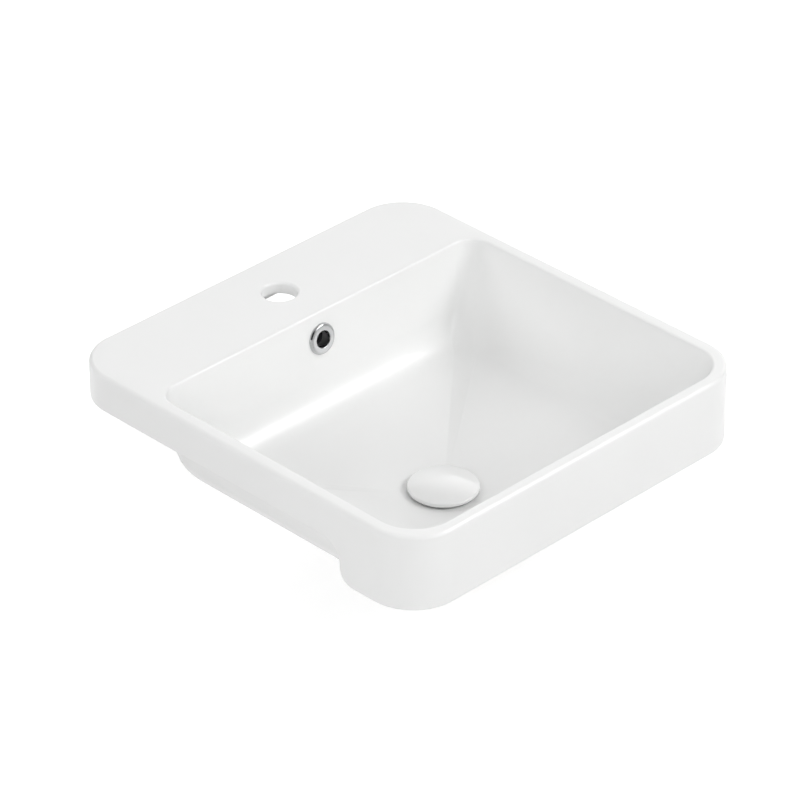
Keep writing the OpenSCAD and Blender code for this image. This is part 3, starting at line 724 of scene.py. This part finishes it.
    def lip_rows(self, s: np.ndarray) -> np.ndarray:
        """The mouth's rounding: the wall turns to level about a circle of the lip's radius.

        Args:
            s: Shares of the turn.

        Returns:
            Array of (rows, stations, 3).
        """
        lean = np.radians(self.leans)
        t = lean + (pi / 2 - lean) * column(s)
        d = self.lip * (1 - np.sin(lean))
        return self.bowl_rows(np.tan(lean) * d - self.lip * (np.cos(lean) - np.cos(t)),
                              d - self.lip * (np.sin(t) - np.sin(lean)), np.zeros(len(s)))

    def side_rows(self, d: np.ndarray, s: np.ndarray, off: float = 0.0) -> np.ndarray:
        """The leaning walls, and the circles below them that turn towards the floor.

        Args:
            d: Depths down the wall, which the turn begins below.
            s: Shares of the turn.
            off: How far outside the bowl's face, along its normal.

        Returns:
            Array of (rows, stations, 3).
        """
        lean, d, s = np.radians(self.leans), column(d), column(s)
        t = lean + (radians(90 - self.floor_fall) - lean) * s
        inset = np.tan(lean) * d + self.cove * (np.cos(lean) - np.cos(t)) - off * np.cos(t)
        depth = d + self.cove * (np.sin(t) - np.sin(lean)) + off * np.sin(t)
        grow = (d + self.cove * s)[:, 0] / (self.wall_depth + self.cove)
        return self.bowl_rows(inset, depth, grow, off)

    def hole_row(self, radius: float, z: float, off: float = 0.0) -> np.ndarray:
        """One circle about the waste.

        Args:
            radius: Its radius.
            z: Its height.
            off: How far outside the bowl's face the cove is that its points are in line with.

        Returns:
            Array of (1, stations, 3).
        """
        out = self.side_rows(self.wall_depth, 1.0, off)[0, :, :2] - [0.0, DRAIN_Y]
        xy = out / np.linalg.norm(out, axis=1, keepdims=True) * radius + [0.0, DRAIN_Y]
        return join(*xy.T, z)[None]

    def floor_rows(self, s: np.ndarray, off: float = 0.0) -> np.ndarray:
        """The floor: straight in plan from the cove's end to a circle, falling by s (1.2 - 0.2 s).

        Args:
            s: Shares of the way to the circle.
            off: How far outside the bowl's face.

        Returns:
            Array of (rows, stations, 3).
        """
        s = column(s)
        rim = self.side_rows(self.wall_depth, 1.0, off)
        circle = self.hole_row(self.land + off / 2, DRAIN_Z - off, off)
        return rim + (circle - rim) * join(s, s, s * (1.2 - 0.2 * s))

    def skirt_rows(self, inset: np.ndarray, z: np.ndarray) -> np.ndarray:
        """Level rings of the outer skirt.

        Args:
            inset: How far inside the outline each is.
            z: Its height.

        Returns:
            Array of (rows, stations, 3).
        """
        e = column(inset)
        return self.outline(self.width / 2 - e, self.front + e, self.back - e, self.corner - e,
                            self.corner - e, column(z))

    def foot_rows(self, inset: np.ndarray, lift: np.ndarray) -> np.ndarray:
        """The skirt's lower edge, which follows the notches.

        Args:
            inset: How far inside the outline each row is.
            lift: How far it is drawn into the clay.

        Returns:
            Array of (rows, stations, 3).
        """
        rows = self.skirt_rows(inset, 0.0)
        y, z, ny, nz, side = self.feet.T
        lift = column(lift)
        rows[..., 1] = np.where(side > 0, y - ny * lift, rows[..., 1])
        rows[..., 2] = z - nz * lift
        return rows

    def ceiling_rows(self) -> tuple[np.ndarray, np.ndarray]:
        """The rim's underside at the skirt and at the bowl: low by the walls, high by the deck.

        Returns:
            Two arrays of (1, stations, 3).
        """
        low, high = self.rim - self.groove_drop, self.rim - self.deck_thick
        outer = self.skirt_rows([self.skirt], 0.0)
        rise = (outer[..., 1] - self.mouth[2] + self.rise_start) / self.rise_length
        outer[..., 2] = low + (high - low) * smooth_step(rise)
        under = self.side_rows([self.groove_drop, self.deck_thick], 0.0, self.wall)
        s = smooth_step(self.table[:, 7])[:, None]
        return outer, (under[0] + (under[1] - under[0]) * s)[None]

    def skin(self) -> np.ndarray:
        """All rings from the waste over the bowl, rim and skirt and back under the bowl.

        Returns:
            Array of (rings, stations, 3).
        """
        edge_in, edge_down = self.edge * np.array(quarter(8))
        foot_up, foot_in = self.foot * np.array(quarter(5))
        hole = self.waste_hole - self.over
        lip_depth = self.lip * (1 - sin(radians(self.leans[0])))
        outer, inner = self.ceiling_rows()
        low = self.side_rows(self.wall_depth, 0.0, self.wall)
        return np.concatenate([
            self.hole_row(hole, DRAIN_Z),
            self.floor_rows(np.linspace(1, 0, 22)[:-1]),
            self.side_rows(self.wall_depth, np.linspace(1, 0, 21)),
            self.side_rows(np.linspace(self.wall_depth, lip_depth, 9)[1:-1], 0.0),
            self.lip_rows(np.linspace(0, 1, 8)),
            self.skirt_rows(edge_in, self.rim - edge_down),
            self.foot_rows(foot_in, foot_up),
            self.foot_rows(self.skirt - foot_up, foot_in),
            outer,
            inner + (low - inner) * np.linspace(0, 1, 6)[:, None, None],
            self.side_rows(self.wall_depth, np.linspace(0, 1, 13)[1:], self.wall),
            self.floor_rows(np.linspace(0, 1, 9)[1:-1], self.wall),
            self.hole_row(hole, DRAIN_Z - self.wall)])

    def duct_solid(self, name: str, near: float, far: float, width: float,
                   rounding: float) -> bpy.types.Object:
        """A tunnel along the back wall's section, a box in cross-section with two round edges.

        Args:
            name: The piece's name.
            near: Distance of its inner side from the wall's face.
            far: Distance of its outer side.
            width: Its width.
            rounding: Radius of its outer edges.

        Returns:
            The tunnel.
        """
        box = fillet([(-width / 2, near, 0), (width / 2, near, 0), (width / 2, far, rounding),
                      (-width / 2, far, rounding)])
        down = [self.deck_thick - self.duct_cover, self.wall_depth / 2]
        down += [self.wall_depth] * (self.duct_steps + 1)
        turn = [0, 0, *np.linspace(0, 1, self.duct_steps + 1)]
        back = np.argmax(self.table[:, 7])
        lines = []
        for x, off in box:
            wall = self.side_rows(down, turn, off)[:, back, 1:]
            floor = join([DRAIN_Y + self.land, DRAIN_Y], DRAIN_Z - off)
            lines.append(join(x, *np.concatenate([wall, floor]).T))
        return ring_skin(name, np.stack(lines, axis=1))

    def waste_boss(self) -> bpy.types.Object:
        """The boss round the waste hole, eased into the bowl's underside.

        Returns:
            The boss.
        """
        low, top = -self.boss_length, -self.wall
        return place(revolve("boss", fillet([
            (0, low, 0), (self.boss, low, self.boss_round),
            (self.boss, top - 3 * MM, self.boss_ease), (self.boss + 8 * MM, top - 1 * MM, 0),
            (self.boss + 6 * MM, top / 2, 0), (0, top / 2, 0)])))

    def build(self) -> bpy.types.Object:
        """Make the skin, join the boss and duct to it and cut the holes.

        Returns:
            The body.
        """
        body = ring_skin("glazed_body", self.skin())
        duct = self.wall + self.duct_gap
        shell = self.duct_solid("duct_shell", self.wall / 2, duct + self.duct_shell,
                                self.duct_width + 2 * self.duct_shell, rounding=9 * MM)
        channel = self.duct_solid("duct_channel", self.wall, duct, self.duct_width,
                                  rounding=3 * MM)
        joined = [("UNION", tool) for tool in (self.waste_boss(), shell)]
        cut = [("DIFFERENCE", tool) for tool in (channel, self.tap_cutter(),
                                                 self.overflow_cutter(), self.waste_cutter())]
        combine(body, joined + cut, crease=40.0)
        self.mark_bare(body)
        keep_flats(body)
        return body

    def tap_cutter(self) -> bpy.types.Object:
        """Cutter for the tap hole, whose mouths are quarter turns that stop 8 degrees short.

        Returns:
            The cutter.
        """
        radius, lip = self.tap_hole, self.hole_lip
        bottom, top = self.rim - self.deck_thick, self.rim
        t = np.linspace(pi, radians(98), 9)
        x, y = radius + lip + lip * np.cos(t), lip * np.sin(t)
        over, out = radius + 1.2 * lip, 0.6 * lip
        upper = np.concatenate([join(x, top - lip + y), [[over, top + out]]])
        lower = np.concatenate([join(x, bottom + lip - y), [[over, bottom - out]]])[::-1]
        profile = np.concatenate([[[0, bottom - out]], lower, upper, [[0, top + out]]])
        return place(revolve("tap_cutter", profile), (0, self.back - self.tap_setback, 0))

    def overflow_cutter(self) -> bpy.types.Object:
        """Cutter for the overflow hole, square to the leaning back wall.

        Returns:
            The cutter.
        """
        end, radius = -self.wall - self.duct_gap / 2, self.overflow_hole
        tool = revolve("overflow_cutter", np.array([
            [0, end], [radius, end], [radius, self.over], [0, self.over]]), steps=64)
        y = self.mouth[2] - tan(radians(self.leans[2])) * self.overflow_drop
        return place(tool, (0, y, self.rim - self.overflow_drop), radians(90 - self.leans[2]))

    def waste_cutter(self) -> bpy.types.Object:
        """Cutter for the waste's recess, the well under it and the hole.

        Returns:
            The cutter.
        """
        low, top = -self.boss_length - 1 * MM, 1 * MM
        (recess, recess_z), (well, well_z) = self.recess, self.well
        return place(revolve("waste_cutter", fillet([
            (0, low, 0), (self.waste_hole, low, 0), (self.waste_hole, -self.cone_end, 0),
            (well, -well_z, 0), (well, -recess_z, 0), (recess, -recess_z, 0.6 * MM),
            (recess, top, 0), (0, top, 0)])))

    def mark_bare(self, piece: bpy.types.Object) -> None:
        """Store where the glaze is wiped off: the rim's foot and the boss's face.

        Args:
            piece: The body.
        """
        z = read_points(piece)[:, 2]
        near = 0.05 * MM
        bare = (np.abs(z) < near) | (np.abs(z - DRAIN_Z + self.boss_length) < near)
        mark = piece.data.attributes.new("bare_clay", "FLOAT", "POINT")
        mark.data.foreach_set("value", bare.astype(np.float32))


@dataclass
class OverflowTrim(Assembly):
    """The chromed ring in the back wall and the sleeve that holds it; the sleeve is black plastic
    whose darkness also paints shade inside the overflow hole.
    """

    look, slot, node = Look.CHROME, "chromed_brass", "overflow_ring"
    # The sleeve is painted black, partly its plastic and partly painted shade for the dark inside of
    # the overflow hole.
    painted = {"overflow_sleeve": Look.BLACK_PLASTIC_PAINTED_SHADE}
    face: float = 16.3 * MM
    opening: float = 8.8 * MM
    stand: float = 3 * MM
    mouth_round: float = 0.8 * MM
    spigot: float = 1.6 * MM
    spigot_length: float = 8 * MM
    place_yz: tuple[float, float] = (0.119, 0.0125)
    lean: float = radians(82.0)

    def build(self) -> bpy.types.Object:
        """Turn the ring: a quarter circle outside, a flat face and a small round into the mouth.

        Returns:
            The ring.
        """
        a, b = quarter(16)
        edge, low, spigot = self.mouth_round, -self.spigot_length, self.opening + self.spigot
        outer = join(self.face - self.stand * b, self.stand - self.stand * a)
        inner = join(self.opening + edge * a, self.stand - edge * b)
        foot = fillet([(self.opening, low, 0), (spigot, low, 0.4 * MM), (spigot, 0, 0),
                       (self.face - 0.3 * MM, 0, 0)], 4)
        ring = revolve("overflow_bezel", np.concatenate([foot, outer, inner]), steps=128)
        return place(ring, (0, *self.place_yz), self.lean)


@dataclass
class Waste(Assembly):
    """The waste under the bowl: flange, seat, slotted and threaded tube, bridge and its fixings."""

    look, slot, node = Look.CHROME, "chromed_brass", "waste_body"
    painted = {"flange_seal": Look.RUBBER, "rubber_gasket": Look.RUBBER,
               "slip_washer": Look.PLASTIC, "back_nut": Look.BRASS}
    flange: float = 32 * MM
    flange_thick: float = 2.2 * MM
    seat: float = 24 * MM
    metal: float = 2.45 * MM
    tube: float = 20.95 * MM
    length: float = 92 * MM
    tail: float = 30 * MM
    pitch: float = 2.309 * MM
    thread_depth: float = 1.1 * MM
    thread_top: float = -32 * MM
    slot_size: tuple[float, float] = (9 * MM, 15 * MM)
    slot_top: float = -15 * MM
    hub_top: float = -45 * MM
    hub: tuple[float, float] = (9.5 * MM, 8 * MM)
    hub_hole: float = 4.9 * MM
    arm: float = 4 * MM
    seat_depth: float = 7.5 * MM
    cone_end: float = 13 * MM
    steps: int = 120

    def build(self) -> bpy.types.Object:
        """Turn the waste with its thread, cut its slots and join its bridge.

        Returns:
            The waste.
        """
        bore, under = self.tube - self.metal, -self.flange_thick
        cup = self.seat + self.metal
        top = fillet([(self.flange - 0.2 * MM, under, 0), (self.flange, under, 0),
                      (self.flange, 0, 0.9 * MM), (self.seat + 1 * MM, 0, 0.8 * MM),
                      (self.seat, -1 * MM, 0.6 * MM), (self.seat, -self.seat_depth, 1.2 * MM),
                      (bore, -self.cone_end, 2 * MM), (bore, -self.length + 0.6 * MM, 0)])[1:]
        upper = fillet([(self.tube, self.thread_top, 0),
                        (self.tube, -self.cone_end - 1 * MM, 1.5 * MM),
                        (cup, -self.seat_depth - 1 * MM, 1.5 * MM), (cup, under, 0)], 5)
        z = np.arange(-self.length + 0.5 * MM, self.thread_top, self.pitch / 9)
        tip = join([bore + 0.4 * MM, self.tube - 0.5 * MM], -self.length)
        profile = np.concatenate([tip, join(self.tube, z), upper, top])
        ripple = np.zeros((len(profile), self.steps))
        ripple[len(tip):len(tip) + len(z)] = self.thread_ripple(column(z))
        body = revolve("threaded_waste", profile, self.steps, crease=36.0, ripple=ripple)
        tools = [("DIFFERENCE", tool) for tool in self.slots()] + [("UNION", self.bridge())]
        combine(body, tools, crease=36.0)
        keep_flats(body)
        return place(body)

    def thread_ripple(self, z: np.ndarray) -> np.ndarray:
        """Radii that cut the thread: a wave in z over the pitch plus the turn, faded at its ends.

        Args:
            z: Heights of the thread's points, as a column.

        Returns:
            Radii to add, as (points, steps).
        """
        phase = z / self.pitch + np.linspace(0.0, 1.0, self.steps, endpoint=False)
        wave = 0.5 - 0.5 * np.cos(2 * pi * phase)
        start = smooth_step((z + self.length) / (1.5 * MM))
        end = smooth_step((self.thread_top - z) / (2 * MM))
        groove = smooth_step(1 - np.abs(z + self.length - self.tail - 1 * MM) / (1.4 * MM))
        return -self.thread_depth * (wave * start * end * (1 - groove) + 1.1 * groove)

    def slots(self) -> list[bpy.types.Object]:
        """Cutters for the four overflow slots: round-ended bars through the tube's wall.

        Returns:
            The cutters.
        """
        width, height = self.slot_size
        t = np.linspace(0, pi, 13)
        half = width / 2
        mid, reach = self.slot_top - height / 2, height / 2 - half
        x, up = half * np.cos(t), half * np.sin(t)
        ring = np.concatenate([join(x, mid + reach + up), join(-x, mid - reach - up)])
        near, far = self.tube - self.metal - 3 * MM, self.tube + 3 * MM
        return [spoke(f"slot_{k}", ring, pi / 2 + k * pi / 2, near, far) for k in range(4)]

    def bridge(self) -> bpy.types.Object:
        """The hub with three filleted arms that reach into the tube's wall.

        Returns:
            The bridge.
        """
        radius, height = self.hub
        low, top, half = self.hub_top - height, self.hub_top, self.arm / 2
        hub = revolve("bridge", fillet([
            (self.hub_hole, low, 0), (radius, low, 0.6 * MM), (radius, top, 0.6 * MM),
            (self.hub_hole, top, 0)], 4), steps=64)
        foot, head, edge = low + 0.5 * MM, top - 0.5 * MM, 0.8 * MM
        section = fillet([(-half, foot, edge), (half, foot, edge), (half, head, edge),
                          (-half, head, edge)], 3)
        near, far = self.hub_hole + 2 * MM, self.tube - self.metal / 2
        combine(hub, [("UNION", spoke(f"arm_{k}", section, radians(30 + 120 * k), near, far))
                      for k in range(3)])
        return hub


@dataclass
class ClickMechanism(Assembly):
    """The barrel in the bridge with its spring, ratchet and spindle."""

    body = None
    look, slot, node = Look.WIRE, "spring_steel", "click_spring"
    painted = {"mechanism_housing": Look.BRASS, "housing_washer": Look.FIBRE,
               "housing_bonnet": Look.BRASS, "spindle_seal": Look.RUBBER,
               "ratchet": Look.PLASTIC, "spindle": Look.TURNED_CHROME}
    wire: float = 0.8 * MM
    coil: float = 5 * MM
    turns: int = 4
    low: float = -42 * MM
    high: float = -33.6 * MM

    def build(self) -> bpy.types.Object:
        """Wind the spring: (r cos a, r sin a, z0 + pitch a / 2 pi), with rings square to that.

        Returns:
            The spring.
        """
        a = np.linspace(0.0, 2 * pi * self.turns, 40 * self.turns + 1)[:, None]
        t = np.linspace(0.0, 2 * pi, 12, endpoint=False)[None]
        start, end = self.low + self.wire / 2, self.high - self.wire / 2
        climb = np.arctan2(end - start, 2 * pi * self.turns * self.coil)
        r, up = self.coil + self.wire / 2 * np.cos(t), self.wire / 2 * np.sin(t)
        return place(ring_skin("wound_spring", join(
            r * np.cos(a) + up * sin(climb) * np.sin(a),
            r * np.sin(a) - up * sin(climb) * np.cos(a),
            start + (end - start) * a / a[-1] + up * cos(climb))))

    def dress(self, piece: bpy.types.Object, materials: dict[Look, bpy.types.Material]) -> None:
        """Dress the mechanism, and bake the spring's place into its mesh.

        Args:
            piece: The spring.
            materials: The finishes' materials.
        """
        super().dress(piece, materials)
        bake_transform(piece)


@dataclass
class Plug(Assembly):
    """The ceramic cap on its carrier."""

    body = Body.PLUG
    look, slot, node = Look.CAP_GLAZE, "glazed_clay", "plug_cap"
    painted = {"cap_pad": Look.PLASTIC, "plug_carrier": Look.TURNED_CHROME,
               "plug_ring": Look.RUBBER, "lock_nut": Look.BRASS}
    radius: float = 35.3 * MM
    gap: float = 2.2 * MM
    edge: float = 4 * MM
    rise: float = 4.5 * MM
    hollow: float = 29.2 * MM
    hollow_top: float = 5.4 * MM
    lower_round: float = 1.2 * MM
    upper_round: float = 1.8 * MM

    def build(self) -> bpy.types.Object:
        """Turn the cap: z = top - R + sqrt(R squared - r squared), a round edge and a hollow.

        Returns:
            The cap.
        """
        top = self.gap + self.edge + self.rise
        dome = (self.radius ** 2 + self.rise ** 2) / (2 * self.rise)
        meet = self.radius - self.upper_round
        meet_z = top - dome + sqrt(dome ** 2 - meet ** 2)
        side_top = self.gap + self.edge - 0.7 * self.upper_round
        a, b = quarter(8)
        r = np.linspace(meet, 0.0, 40)[1:]
        profile = np.concatenate([
            fillet([(0, self.hollow_top, 0), (self.hollow, self.hollow_top, 0.8 * MM),
                    (self.hollow, self.gap, 0.6 * MM),
                    (self.radius - self.lower_round, self.gap, 0)], 5),
            join(self.radius - self.lower_round * a[1:], self.gap + self.lower_round * b[1:]),
            join(self.radius - self.upper_round * b, meet_z - (meet_z - side_top) * a),
            join(r, top - dome + np.sqrt(dome ** 2 - r ** 2))])
        return place(revolve("ceramic_cap", profile, steps=160, crease=50.0))


def hang(name: str, data: bpy.types.ID, at: tuple[float, float, float],
         towards: Vector) -> bpy.types.Object:
    """Hang a lamp or a camera so that it looks in a direction.

    Args:
        name: The new object's name.
        data: The lamp's or camera's data.
        at: Where it hangs.
        towards: Where it looks.

    Returns:
        The new object.
    """
    holder = bpy.data.objects.new(name, data)
    holder.location = at
    holder.rotation_euler = towards.to_track_quat("-Z", "Y").to_euler()
    bpy.context.scene.collection.objects.link(holder)
    return holder


@dataclass(frozen=True)
class Softbox:
    """One area lamp: where it hangs, its size and power, and whether things mirror it."""

    name: str
    at: tuple[float, float, float]
    side: float
    power: float
    mirrored: bool = False
    feather: float = 0.8
    aim: tuple[float, float, float] = (0.0, -0.02, -0.02)

    def light(self) -> None:
        """Add the lamp, turned so that its face looks at its aim."""
        lamp = bpy.data.lights.new(self.name, "AREA")
        lamp.shape = "RECTANGLE"
        lamp.size = lamp.size_y = self.side
        lamp.energy = self.power
        if self.mirrored:
            self.fade(lamp)
        towards = Vector(self.aim) - Vector(self.at)
        hang(self.name, lamp, self.at, towards).visible_glossy = self.mirrored

    def fade(self, lamp: bpy.types.Light) -> None:
        """Fade the cloth towards its edges, so that its mirror image has no hard border.

        Across each side the strength is a smooth step of the distance from the edge over the
        feather's share of half the side. Its mean is 1 - feather / 2, which the power makes up for.

        Args:
            lamp: The lamp's data.
        """
        lamp.energy = self.power / (1 - self.feather / 2) ** 2
        lamp.use_nodes = True
        n = Graph(lamp.node_tree)
        axes = n.add("SeparateXYZ", {0: n.add("NewGeometry", out="Parametric")}).node.outputs
        shares = []
        for axis in ("X", "Y"):
            away = n.maths("ABSOLUTE", n.maths("SUBTRACT", axes[axis], 0.5))
            shares.append(n.spread(away, 0.0, 1.0, 0.5, 0.5 * (1 - self.feather), "SMOOTHSTEP"))
        n.tree.links.new(n.maths("MULTIPLY", *shares), n.tree.nodes["Emission"].inputs["Strength"])


@dataclass
class Studio:
    """Pale floor, white surroundings, soft lamps and the camera."""

    floor_z: float = -0.1785
    floor_half: float = 6.0
    floor_grey: float = 0.70
    floor_seen: float = 0.60
    sky: float = 0.238
    mirror_sky: float = 0.55
    window: float = 1.7
    window_towards: tuple[float, float, float] = (0.863, 0.459, 0.208)
    window_edge: tuple[float, float] = (45.0, 12.0)
    dark_towards: tuple[float, float, float] = (-0.66, -0.60, 0.45)
    dark_edge: tuple[float, float] = (40.0, 24.0)
    dark_share: float = 0.06
    camera_at: tuple[float, float, float] = (-2.7458, -2.7497, 2.4371)
    towards: tuple[float, float, float] = (0.5971, 0.60025, -0.53214)
    lens: float = 214.8

    def build(self) -> None:
        """Lay the floor, light the object and point the camera."""
        scene = bpy.context.scene
        scene.view_settings.view_transform = "Standard"
        self.lay_floor()
        self.light_sky()
        for lamp in (Softbox("window_box", (1.80, -1.95, 2.18), 2.4, 38.5, mirrored=True),
                     Softbox("front_box", (1.20, -2.48, 1.80), 2.4, 20.0, mirrored=True),
                     Softbox("high_key", (-0.40, -1.00, 3.10), 1.5, 14.5),
                     Softbox("front_fill", (-1.05, -2.55, 1.35), 1.5, 8.0),
                     Softbox("left_fill", (-2.70, -0.90, 1.05), 1.5, 30.0),
                     Softbox("back_fill", (-0.60, 2.55, 1.95), 1.5, 31.5)):
            lamp.light()
        view = bpy.data.cameras.new("view")
        view.lens = self.lens
        view.clip_end = 50.0
        scene.camera = hang("view", view, self.camera_at, Vector(self.towards))

    def lay_floor(self) -> None:
        """Lay a wide pale sheet under the tail, which looks whiter than it lights."""
        corners = np.array([[x, y, 0.0] for x, y in ((-1, -1), (1, -1), (1, 1), (-1, 1))])
        floor = mesh_piece("studio_floor", corners * self.floor_half + [0, 0, self.floor_z],
                           [[0, 1, 2, 3]])
        n = Finish("studio_paper", Roughness=1.0, Specular_IOR_Level=0.0,
                   Base_Color=(*[self.floor_grey] * 3, 1.0), Emission_Color=(1.0, 1.0, 1.0, 1.0))
        n.tree.links.new(n.seen(self.floor_seen, glossy=True), n.sockets["Emission Strength"])
        floor.data.materials.append(n.material)

    def light_sky(self) -> None:
        """White for the camera, softer as light, and in mirrors a grey room with a window."""
        world = bpy.data.worlds.new("white_room")
        bpy.context.scene.world = world
        world.use_nodes = True
        n = Graph(world.node_tree)
        window = self.patch(n, self.window_towards, self.window_edge,
                            (self.mirror_sky, self.window))
        dark = self.patch(n, self.dark_towards, self.dark_edge, (1.0, self.dark_share))
        glossy = n.add("LightPath", out="Is Glossy Ray")
        room = n.add("Mix", {"Factor": glossy, 2: self.sky, 3: n.maths("MULTIPLY", window, dark)})
        level = n.add("Mix", {"Factor": n.seen(1.0, glossy=False), 2: room, 3: 1.0})
        back = n.tree.nodes["Background"].inputs
        back["Color"].default_value = (1.0, 1.0, 1.0, 1.0)
        n.tree.links.new(level, back["Strength"])

    def patch(self, n: Graph, towards: tuple[float, float, float], edge: tuple[float, float],
              levels: tuple[float, float]) -> bpy.types.NodeSocket:
        """A soft round patch of the room: a smooth step of the cosine between ray and middle.

        Args:
            n: The world's nodes.
            towards: Direction of the patch's middle.
            edge: Angles from the middle, in degrees, where the patch ends and where it is full.
            levels: Values outside the patch and inside it.

        Returns:
            The value's output.
        """
        ray = n.add("TexCoord", out="Generated")
        near = n.add("VectorMath", {0: ray, 1: Vector(towards).normalized()}, "Value",
                     operation="DOT_PRODUCT")
        return n.spread(near, *levels, *(cos(radians(e)) for e in edge), "SMOOTHSTEP")


def main() -> None:
    """Build the studio and each sub-assembly in order."""
    logging.basicConfig(level=logging.INFO, format="%(name)s %(message)s")
    Studio().build()
    materials = {look: look.value.material() for look in Look}
    for assembly in (ClayBody(), OverflowTrim(), Waste(), ClickMechanism(), Plug()):
        assembly.dress(assembly.build(), materials)


if __name__ == "__main__":
    main()
